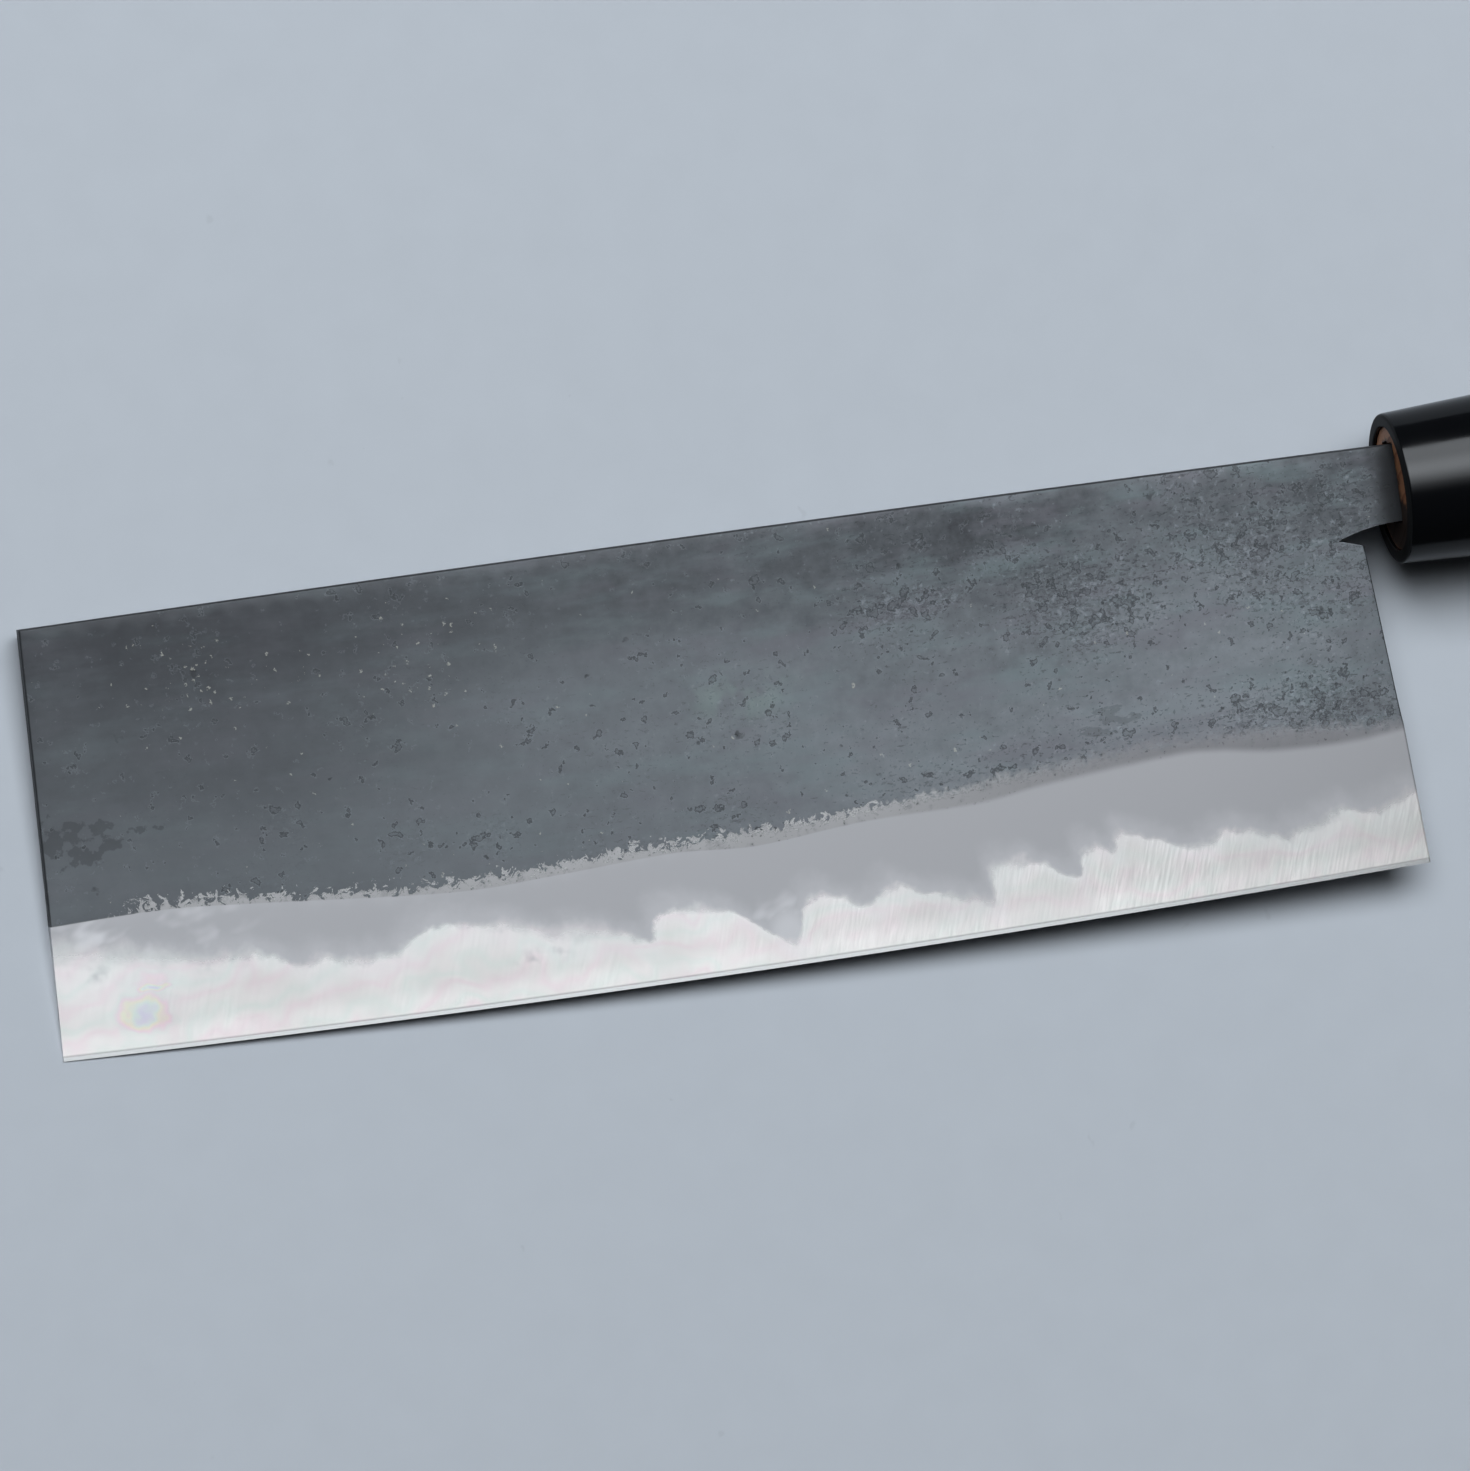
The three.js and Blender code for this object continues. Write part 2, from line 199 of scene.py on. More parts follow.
class CleaverBlade(bpy.types.PropertyGroup):
    """Sizes of the blade, drawn along +X from the tip, spine at Y = 0, edge towards -Y."""

    edge_length: size("Edge length", 165, "Straight from the tip's edge corner to the heel corner")
    tip_height: size("Tip height", 49.5, "Spine to edge at the tip")
    heel_height: size("Heel height", 50, "Spine to edge at the heel corner")
    edge_belly: size("Edge belly", 1.2, "How far the edge bows out between its corners")
    spine_crown: size("Spine crown", 0.28, "How far the spine bows out between tip and neck")
    tip_lean: size("Tip lean", 1.3, "How far the tip's edge corner stands ahead of its spine corner")
    heel_lean: size("Heel lean", 3.8, "How far the heel corner stands behind the shoulder above it")
    shoulder_depth: size("Shoulder depth", 11.5, "Spine to the top of the heel")
    shoulder_radius: size("Shoulder radius", 0.35, "Rounding where the heel turns into the notch")
    notch_depth: size("Notch depth", 3.2, "How far the notch cuts into the blade ahead of the shoulder")
    notch_rise: size("Notch rise", 0.9, "How far the notch's point lies above the shoulder")
    neck_length: size("Neck length", 4.4, "Shoulder to the front of the ferrule")
    neck_height: size("Neck height", 9.2, "Spine to underside where the neck meets the ferrule")
    neck_hollow: size("Neck hollow", 0.35, "How far the underside of the neck is curved in")
    tip_thickness: size("Tip thickness", 2.3, "Thickness of the spine at the tip")
    heel_thickness: size("Heel thickness", 3.4, "Thickness of the spine above the heel")
    flat_taper: turn("Flat taper", 0.45, "How much each black face leans in from spine to grind line")
    edge_thickness: size("Edge thickness", 0.24, "Thickness where the wide bevel meets the cutting bevel")
    cutting_bevel: size("Cutting bevel", 0.42, "Height of the small bevel along the edge")
    edge_land: size("Edge land", 0.04, "Thickness left at the very edge")
    rim_radius: size("Rim radius", 0.25, "Wear that rounds the spine, the tip and the heel")
    forge_wave: size("Forge wave", 0.03, "How far the hammered flats wander from a plane")
    weld_seam: size("Weld seam", 0.004, "Width of the seam between two layers")
    tang_length: size("Tang length", 85, "From the front of the ferrule to the tang's end")
    tang_end_height: size("Tang end height", 4, "Height of the tang at its end")
    tang_end_thickness: size("Tang end thickness", 2, "Thickness of the tang at its end")
    tang_core: size("Tang core", 1.2, "Thickness of the hard core in the tang")

    def heel_x(self):
        return self.edge_length - self.tip_lean

    def shoulder_x(self):
        return self.heel_x() - self.heel_lean

    def ferrule_x(self):
        return self.shoulder_x() + self.neck_length

    def tang_end_x(self):
        return self.ferrule_x() + self.tang_length

    def tip_x(self, y):
        return self.tip_lean * y / self.tip_height

    def heel_line_x(self, y):
        slope = self.heel_lean / (self.heel_height - self.shoulder_depth)
        return self.shoulder_x() - slope * (y + self.shoulder_depth)

    def spine_y(self, x):
        share = min(max(x / self.ferrule_x(), 0), 1)
        return 4 * self.spine_crown * share * (1 - share)

    def edge_y(self, x):
        share = (x + self.tip_lean) / self.edge_length
        held = min(max(share, 0), 1)
        return -lerp(self.tip_height, self.heel_height, share) - 4 * self.edge_belly * held * (1 - held)

    def grind(self, x):
        return on_line(GRIND_CURVE, x / MM) * MM

    def weld(self, x):
        return on_line(WELD_LINE, x / MM) * MM

    def flat_half(self, x, y):
        """Half thickness of the black flats, thinning along the tang."""
        share = min(x, self.ferrule_x()) / self.heel_x()
        at_spine = lerp(self.tip_thickness, self.heel_thickness, share) / 2
        half = at_spine + y * math.tan(self.flat_taper)
        return lerp(half, self.tang_end_thickness / 2, max(0, x - self.ferrule_x()) / self.tang_length)

    def bevel_half(self, x, rise):
        """Half thickness on the wide bevel at a height above the edge."""
        grind = self.grind(x)
        top = self.flat_half(x, self.edge_y(x) + grind)
        share = (rise - self.cutting_bevel) / (grind - self.cutting_bevel)
        return lerp(self.edge_thickness / 2, top, share)

    def core_half(self, x):
        """Half thickness of the hard core, which comes out of the bevel along the weld line."""
        heel = self.heel_x()
        tang = self.ferrule_x() + self.neck_length
        at_heel = self.bevel_half(min(x, heel), self.weld(min(x, heel)))
        return lerp(at_heel, self.tang_core / 2, min(max((x - heel) / (tang - heel), 0), 1))

    def to_rim(self, x, y):
        """Distance in from the spine, the tip or the heel."""
        heel = self.heel_line_x(y) - x if y < -self.shoulder_depth else self.edge_length
        return max(0, min(self.spine_y(min(x, self.ferrule_x())) - y, x - self.tip_x(y), heel))

    def half(self, x, y, side):
        """Half thickness of the finished blade on its left (1) or right (-1) face."""
        rise = y - self.edge_y(x)
        past_grind = rise - self.grind(x)
        if rise < self.cutting_bevel:
            half = lerp(self.edge_land, self.edge_thickness, max(0, rise) / self.cutting_bevel) / 2
        elif past_grind < 0:
            half = self.bevel_half(x, rise)
        else:
            place = Vector((x / WAVE_LENGTH, y / WAVE_HEIGHT, side * 7 * MM)) / MM
            wave = noise.noise(place) * min(1, past_grind / WAVE_EASE)
            half = self.flat_half(x, y) + self.forge_wave * wave
        if x > self.ferrule_x() or past_grind < 0:
            return half
        share = max(0, 1 - self.to_rim(x, y) / self.rim_radius)
        worn = min(self.rim_radius, half / 2) * min(1, past_grind / WEAR_EASE)
        return half - worn * (1 - math.sqrt(1 - share * share))


class CleaverHandle(bpy.types.PropertyGroup):
    """Sizes of the handle, drawn along its own axis from the front of the ferrule."""

    length: size("Handle length", 125, "Ferrule front to butt")
    axis_depth: size("Axis depth", 5.3, "Spine to the handle's axis at the front of the ferrule")
    rise: turn("Handle rise", 1.1, "How much the handle rises from the line of the spine")
    ferrule_length: size("Ferrule length", 26, "Front of the ferrule to its joint with the wood")
    ferrule_wall: size("Ferrule wall", 1.55, "Thickness of the ferrule at its open front")
    ferrule_rim: size("Ferrule rim", 0.45, "Rounding of the ferrule's front rim")
    bore_round: size("Bore rounding", 0.2, "Rounding of the bore's front edge")
    joint_round: size("Joint rounding", 0.12, "Rounding on both sides of the joint of ferrule and wood")
    wood_recess: size("Wood recess", 0.5, "From the ferrule's front rim in to the wood")
    front_height: size("Front height", 18, "Height of the ferrule at its front")
    front_width: size("Front width", 14.4, "Width of the ferrule at its front")
    joint_height: size("Joint height", 20.5, "Height where the ferrule meets the wood")
    joint_width: size("Joint width", 16.6, "Width where the ferrule meets the wood")
    butt_height: size("Butt height", 25, "Height of the handle at the butt")
    butt_width: size("Butt width", 20, "Width of the handle at the butt")
    butt_round: size("Butt rounding", 2, "Rounding of the butt's edge")
    tenon_gap: size("Tenon gap", 0.1, "Clearance round the tenon and at its shoulder")
    socket_gap: size("Socket gap", 0.5, "Clearance burnt into the wood round the tang")
    burnt_edge: size("Burnt edge", 0.3, "How far the burnt mouth of the socket is nicked")
    mouth_gap: size("Mouth gap", 0.1, "Clearance at the mouth of the socket, where the tang fits closely")

    def swell(self, s, front, joint, butt):
        """Smooth swell through the front, joint and butt sizes."""
        f, n = self.ferrule_length, self.length
        return ((s - f) * (s - n) / (f * n) * front
                + s * (s - n) / (f * (f - n)) * joint
                + s * (s - f) / (n * (n - f)) * butt)

    def oval(self, s, height, width):
        ring = []
        for i in range(OVAL_SIDES):
            angle = 2 * math.pi * i / OVAL_SIDES
            ring.append(Vector((s, math.cos(angle) * height / 2, math.sin(angle) * width / 2)))
        return ring

    def ring(self, s, inset=0.0):
        """Oval of the handle's outside, set in by a margin."""
        height = self.swell(s, self.front_height, self.joint_height, self.butt_height)
        width = self.swell(s, self.front_width, self.joint_width, self.butt_width)
        return self.oval(s, height - 2 * inset, width - 2 * inset)

    def bore(self, s, gap=0.0):
        """Oval of the ferrule's bore, let out by a gap."""
        wall = self.ferrule_wall - gap
        return self.oval(s, self.front_height - 2 * wall, self.front_width - 2 * wall)


class CleaverColours(bpy.types.PropertyGroup):
    """Colours of the finishes."""

    scale_dark: tone("Scale, dark", "#1B1D22", "Forge scale towards the tip and the spine")
    # Its paleness towards the heel is partly painted sheen
    scale_pale: tone("Scale, pale", "#777C80", "Forge scale towards the heel, worn thin")
    scale_worn: tone("Scale, worn", "#959CA2", "Scale worn through to the grey iron")
    scale_teal: tone("Scale, teal", "#6C797B", "Streaks of the scale left by the quench")
    scale_plum: tone("Scale, plum", "#66646B", "Streaks of the scale left by the quench")
    scale_mint: tone("Scale, mint", "#82988F", "One patch of the scale with a green oxide film")
    # Also used for painted shade on the neck and along the spine, the tip and the heel
    scale_pit: tone("Scale pit", "#191B1E", "Pits where scale was hammered in and fell out")
    scale_fleck: tone("Scale fleck", "#B4B3A8", "Flecks where the bare iron shows through the scale")
    fringe: tone("Fringe", "#A1A0A0", "Bare iron along the grind line, left of the middle")
    fringe_line: tone("Fringe line", "#7E7F80", "Dark outlines in the fringe")
    fringe_light: tone("Fringe light", "#B4B3B1", "Bright outlines in the fringe")
    fringe_heel: tone("Fringe at the heel", "#878688", "Bare iron along the grind line, towards the heel")
    ground_iron: tone("Ground iron", "#ACABAD", "Soft iron, ground and hazed with stone mud")
    smoky_iron: tone("Smoky iron", "#A3A2A4", "Smears of soft iron in the polish")
    core_rim: tone("Core rim", "#EEEDEE", "Bright line along the weld")
    core_steel: tone("Core steel", "#F0EBE7", "Hard steel, polished to the edge")
    honed: tone("Honed bevel", "#F4F4F2", "Steel of the freshly honed cutting bevel")
    tint_rose: tone("Rose tint", "#F2D2DC", "Rainbow tint on the polished steel")
    tint_mint: tone("Mint tint", "#D9EAE0", "Rainbow tint on the polished steel")
    tint_straw: tone("Straw tint", "#EEE7C6", "Rainbow tint on the polished steel")
    tint_lilac: tone("Lilac tint", "#D3CFEA", "Rainbow tint on the polished steel")
    resin: tone("Resin", "#0A0B0D", "Polished black ferrule")
    resin_sawn: tone("Sawn resin", "#0C0D0E", "Front rim of the ferrule, sawn and less polished")
    wood_early: tone("Early wood", "#AE7852", "Pale part of each growth ring")
    wood_late: tone("Late wood", "#845238", "Darker part of each growth ring")
    char: tone("Char", "#1B120D", "Wood burnt by the hot tang")
    daylight: tone("Daylight", "#F3F9FF", "Slightly cool light of the lamps")
    table: tone("Table", "#BDC2C8", "Painted table top")


class CleaverStage(bpy.types.PropertyGroup):
    """Camera and light of the studio."""

    aim_x: size("Aim along", -61.63, "Point on the table that the camera looks at, along the knife")
    aim_y: size("Aim across", -2.64, "Point on the table that the camera looks at, across the knife")
    distance: size("Camera distance", 858.3, "Camera to the point that it looks at")
    lean_left: turn("Lean left", 14.64, "How far the camera stands to the left of straight above")
    lean_up: turn("Lean up", -1.585, "How far the camera stands towards the top of the picture")
    roll: turn("Roll", 8.275, "Turn of the picture against the knife")
    lens: FloatProperty(
        name="Lens", description="Focal length on a 36 mm square", default=179.72, unit="CAMERA")
    box_height: size("Softbox height", 2400, "Table to softbox")
    box_full: turn("Softbox, full light", 36, "Slant from which the softbox is at its full brightness")
    box_far: turn("Softbox, far side", 46, "Reach of the softbox towards the top of the picture")
    box_width: size("Softbox width", 3400, "Softbox from left to right")
    box_level: brightness("Softbox level", 7.4, "Brightness at the far side")
    card_height: size("Card height", 900, "Table to the white cards beside the camera")
    card_x: size("Card place", 105, "Middle of the card, to the right")
    card_width: size("Card width", 590, "Card from left to right")
    card_full: turn("Card, full light", 14, "Slant at which the card is brightest")
    card_far: turn("Card, far side", 35, "Reach of the card towards the top of the picture")
    card_level: brightness("Card level", 3.4, "Brightest part of the card")
    near_x: size("Near cards place", 92, "Middle of the two cards on the edge's side, to the right")
    near_width: size("Near cards width", 505, "These two cards from left to right")
    near_reach: turn("Bevel card reach", 24, "Reach of the bevel's card towards the bottom of the picture")
    near_level: brightness("Bevel card level", 1.08, "Brightness of that card")
    strip_start: turn("Edge card, start", 31, "Slant of the edge's card where it starts")
    strip_end: turn("Edge card, end", 40, "Slant of the edge's card where it ends")
    strip_level: brightness("Edge card level", 1.4, "Brightness of that card")
    grip_height: size("Handle card height", 850, "Table to the card that only the handle mirrors")
    grip_reach: turn("Handle card reach", 12, "Reach of that card towards the bottom of the picture")
    grip_full: turn("Handle card, full light", 14, "Slant at which the handle's card is brightest")
    grip_far: turn("Handle card, far side", 31, "Reach of that card towards the top of the picture")
    grip_level: brightness("Handle card level", 4.4, "Brightest part of that card")
    side_left: size("Left card start", -650, "Start of the big card over the tip's side")
    side_right: size("Right card start", 1500, "Start of the big card over the handle's side")
    side_near: size("Front card start", -1300, "Start of the big card over the edge's side")
    side_reach: size("Side card reach", 4000, "Reach of each of these three cards")
    side_level: brightness("Side card level", 0.7, "Brightness of these cards")
    room_level: brightness("Room level", 0.035, "Brightness of the pale walls")
    ceiling_level: brightness("Ceiling level", 0.02, "Brightness of the ceiling")
    floor_size: size("Floor size", 12000, "Side of the square floor")


def put(tree, kind, *values, out=0, stops=(), corners=(), **settings):
    """Adds one node with its settings, ramp stops or curve corners.

    A kind in capitals is an operation of a Math node. Values or links for the sockets come in the
    sockets' order, or by name in one dictionary.
    """
    made = tree.nodes.new("ShaderNode" + ("Math" if kind.isupper() else kind))
    if kind.isupper():
        made.operation = kind
    for name, value in settings.items():
        setattr(made, name, value)
    for i, (place, colour) in enumerate(stops):
        ramp = made.color_ramp.elements
        stop = ramp[i] if i < 2 else ramp.new(place)
        stop.position = place
        stop.color = colour
    for i, corner in enumerate(corners):
        points = made.mapping.curves[0].points
        point = points[i] if i < 2 else points.new(*corner)
        point.location = corner
        point.handle_type = "VECTOR"
    if corners:
        made.mapping.extend = "HORIZONTAL"
        made.mapping.update()
    named = len(values) == 1 and isinstance(values[0], dict)
    sockets = values[0] if named else dict(enumerate(values))
    for name, value in sockets.items():
        if isinstance(value, bpy.types.NodeSocket):
            tree.links.new(value, made.inputs[name])
        else:
            made.inputs[name].default_value = value
    return made.outputs[out] if made.outputs else made


def new_material(name):
    """A new material with an empty tree, and the means to add nodes to it."""
    material = bpy.data.materials.new(name)
    material.use_nodes = True
    material.node_tree.nodes.clear()
    return material, partial(put, material.node_tree)


def marks(add, spot, width, bar, detail=3):
    """How far noise passes a bar: irregular marks about as wide as given in mm where it does."""
    grain = add("TexNoise", {"Vector": spot, "Scale": 1 / width, "Detail": detail, "Roughness": 0.58})
    return add("SUBTRACT", grain, bar)


def wander(add, spot, width, detail, reach):
    """Places moved about by noise of a width in mm, by up to half of a reach each way."""
    drift = add("TexNoise", {"Vector": spot, "Scale": 1 / width, "Detail": detail}, out=1)
    centred = add("VectorMath", drift, (0.5, 0.5, 0.5), operation="SUBTRACT")
    return add("VectorMath", centred, reach, spot, operation="MULTIPLY_ADD")


def specks(add, spot, cell, radius, share, crooked):
    """Mask of single specks, one in a share of the cells and up to a radius; lengths in mm."""
    moved = wander(add, spot, cell / 2.2, 2, (crooked,) * 3)
    distance = add("TexVoronoi", {"Vector": moved, "Scale": 1 / cell})
    chance = add("SeparateColor", {"Color": distance.node.outputs["Color"]})
    bar = add("SUBTRACT", 1.0, share)
    reach = add("MapRange", chance, bar, 1, 0, radius / cell)
    inner = add("MULTIPLY", reach, 0.5)
    return add("MapRange", distance, reach, inner)


def patches(add, spot, *places, core=0.2):
    """Soft mask round places on the blade: along, rise, half length and half height of each in mm."""
    mask = None
    for along, rise, long, tall in places:
        offset = add("VectorMath", spot, (along, rise, 0), operation="SUBTRACT")
        share = add("VectorMath", offset, (1 / long, 1 / tall, 0), operation="MULTIPLY")
        distance = add("VectorMath", share, out="Value", operation="LENGTH")
        near = fade(add, distance, 1.0, core)
        mask = near if mask is None else add("MAXIMUM", mask, near)
    return mask


def line_height(add, along, line):
    """Height in mm of a drawn line at a place along the blade."""
    start, end, top = -2.0, 168.0, 25.0
    share = add("MapRange", along, start, end)
    corners = [((x - start) / (end - start), y / top) for x, y in line]
    height = add("FloatCurve", {"Value": share}, corners=corners)
    return add("MULTIPLY", height, top)


def fade(add, value, start, end, low=0.0, high=1.0):
    """Smooth change from low to high while a value goes from start to end."""
    return add("MapRange", value, start, end, low, high, interpolation_type="SMOOTHSTEP")


def blend(add, share, under, over):
    """Colour that goes from one to another by a share."""
    return add("Mix", {0: share, 6: under, 7: over}, out=2, data_type="RGBA")


def polished_steel(add, spot, along, rise):
    """Colour of the bright zone: pale steel with slanted stone scratches and faint rainbow tints."""
    colours = bpy.context.scene.cleaver_colours
    # Scratches 0.3 mm wide, drawn coarser than the real grit, lean 17 degrees and grow towards the heel
    slant = add(
        "Mapping", {"Vector": spot, "Rotation": (0, 0, math.radians(-17)), "Scale": (0.32, 4, 1)},
        vector_type="TEXTURE")
    scratch = add("TexNoise", {"Vector": slant, "Scale": 1.0, "Detail": 3, "Distortion": 0.5})
    streak = add("MapRange", scratch, 0.3, 0.7, -0.5, 0.4)
    cloud = add("TexNoise", {"Vector": spot, "Scale": 1 / 11, "Detail": 3})
    wear = add("MULTIPLY", fade(add, along, 60, 140, 0.05, 0.22), fade(add, cloud, 0.35, 0.6, 0.3, 1.1))
    # Cloudy, brightest at the tip, duller towards the heel and away from the edge, with two odd patches
    even = add("MapRange", cloud, 0.3, 0.7, 0.9, 1.05)
    for change in (
            fade(add, along, 95, 160, 1.0, 0.93), fade(add, rise, 1.5, 4, 0.975, 0.865),
            fade(add, along, 5, 13, 1.1, 1.0)):
        even = add("MULTIPLY", even, change)
    for place, change in (((75.5, 3.5, 9, 6), 0.07), ((105.5, 4, 8, 4), -0.08)):
        even = add("MULTIPLY_ADD", patches(add, spot, place), change, even)
    light = add("MULTIPLY_ADD", streak, wear, even)
    # Tints in bands about 5 mm apart along the edge, and in rings round two spots near the tip
    swirl = add("TexNoise", {"Vector": spot, "Scale": 1 / 7, "Detail": 1.5, "Distortion": 0.6})
    climb = add("MapRange", along, 0, 45, 0, -2.6)
    phase = add("MULTIPLY_ADD", rise, 1 / 5, climb)
    phase = add("MULTIPLY_ADD", swirl, 2.2, phase)
    bands = add(
        "ValToRGB", {"Fac": add("FRACT", phase)},
        stops=[(0.0, colours.core_steel), (0.24, colours.tint_rose), (0.44, colours.core_steel),
               (0.68, colours.tint_mint), (0.92, colours.core_steel)])
    steel = blend(add, fade(add, along, 25, 130, 0.32, 0.2), colours.core_steel, bands)
    bent = wander(add, spot, 1.8, 1, (3.6, 1.6, 0))
    upper = add("MULTIPLY", patches(add, bent, (10, 8.2, 5, 2.2), core=0.0), 0.42)
    lower = patches(add, bent, (8.5, 4.4, 5, 3.4), (9.9, 7.2, 3, 0.8), core=0.0)
    nearness = add("MAXIMUM", lower, upper)
    rings = add(
        "ValToRGB", {"Fac": nearness},
        stops=[(0.0, colours.tint_mint), (0.1, colours.tint_mint), (0.38, colours.tint_rose),
               (0.58, colours.tint_straw), (0.76, colours.tint_mint), (0.98, colours.tint_lilac)])
    steel = blend(add, fade(add, nearness, 0.0, 0.32, 0.0, 0.58), steel, rings)
    return add("VectorMath", {0: steel, "Scale": light}, operation="SCALE"), scratch


def ground_bevel(add, spot, along, rise):
    """Colour and roughness below the grind line, and the scratches of the polish."""
    colours = bpy.context.scene.cleaver_colours
    # The drawn waves wander by about 0.5 mm, softest by the tip and crisp on some fronts
    leaning = add("MULTIPLY_ADD", rise, POLISH_LEAN, along)
    limit = line_height(add, leaning, POLISH_LINE)
    over = add("SUBTRACT", rise, limit)
    cloud = add("TexNoise", {"Vector": spot, "Scale": 1 / 2.4, "Detail": 4, "Roughness": 0.55})
    puff = add("MapRange", cloud, 0, 1, -1.4, 1.4)
    above_weld = add("ADD", over, puff)
    blur = add("TexNoise", {"Vector": spot, "Scale": 1 / 9, "Detail": 1})
    crisp = add("MapRange", blur, 0.38, 0.62, 0.8, 2.0)
    softness = add("ADD", crisp, fade(add, along, 6, 24, 3.2, 0.0))
    softness = add("MULTIPLY_ADD", patches(add, spot, (58, 7.5, 10, 6)), 2.0, softness)
    zone = add("DIVIDE", above_weld, softness)
    steel, scratch = polished_steel(add, spot, along, rise)
    smear = fade(add, marks(add, spot, 2.6, 0.42, 2), 0.0, 0.3, 0.0, 0.7)
    smudged = patches(add, spot, (55.5, 5.2, 5, 1.6), (3.5, 9.6, 4, 1.4), (18, 9, 4, 1.4))
    smear = add("MULTIPLY", smear, smudged)
    steel = blend(add, smear, steel, colours.smoky_iron)
    rim = fade(add, zone, -2.4, -0.4, 0.0, 0.2)
    bright = blend(add, rim, steel, colours.core_rim)
    # Light wisps in the iron by the tip and in the deepest valley, and a haze over the whole weld
    wisp_place = add(
        "Mapping", {"Vector": spot, "Rotation": (0, 0, math.radians(25)), "Scale": (6, 3.4, 1)},
        vector_type="TEXTURE")
    wisp = add("TexNoise", {"Vector": wisp_place, "Scale": 1.0, "Detail": 2})
    wisp = fade(add, wisp, 0.46, 0.7, 0.0, 0.5)
    wispy = patches(add, spot, (6, 13, 22, 8), (84, 5.5, 6, 4.5))
    wisp = add("MULTIPLY", wisp, wispy)
    valley = add("MULTIPLY", patches(add, spot, (84.8, 4, 4, 4.5)), 0.4)
    haze = add("MAXIMUM", fade(add, above_weld, 4.0, 0.0, 0.0, 0.2), valley)
    light = add("MAXIMUM", wisp, haze)
    iron = blend(add, light, colours.ground_iron, colours.core_rim)
    is_iron = fade(add, zone, -0.4, 0.7)
    ground = blend(add, is_iron, bright, iron)
    # Burr line above the cutting bevel, then the freshly honed bevel itself
    ground = blend(add, fade(add, rise, 0.75, 0.5, 0.0, 0.5), ground, colours.fringe_line)
    is_honed = fade(add, rise, 0.46, 0.4)
    steel_rough = add("MapRange", is_honed, 0, 1, 0.2, 0.25)
    rough = add("Mix", {0: is_iron, 2: steel_rough, 3: 0.4})
    return blend(add, is_honed, ground, colours.honed), rough, scratch


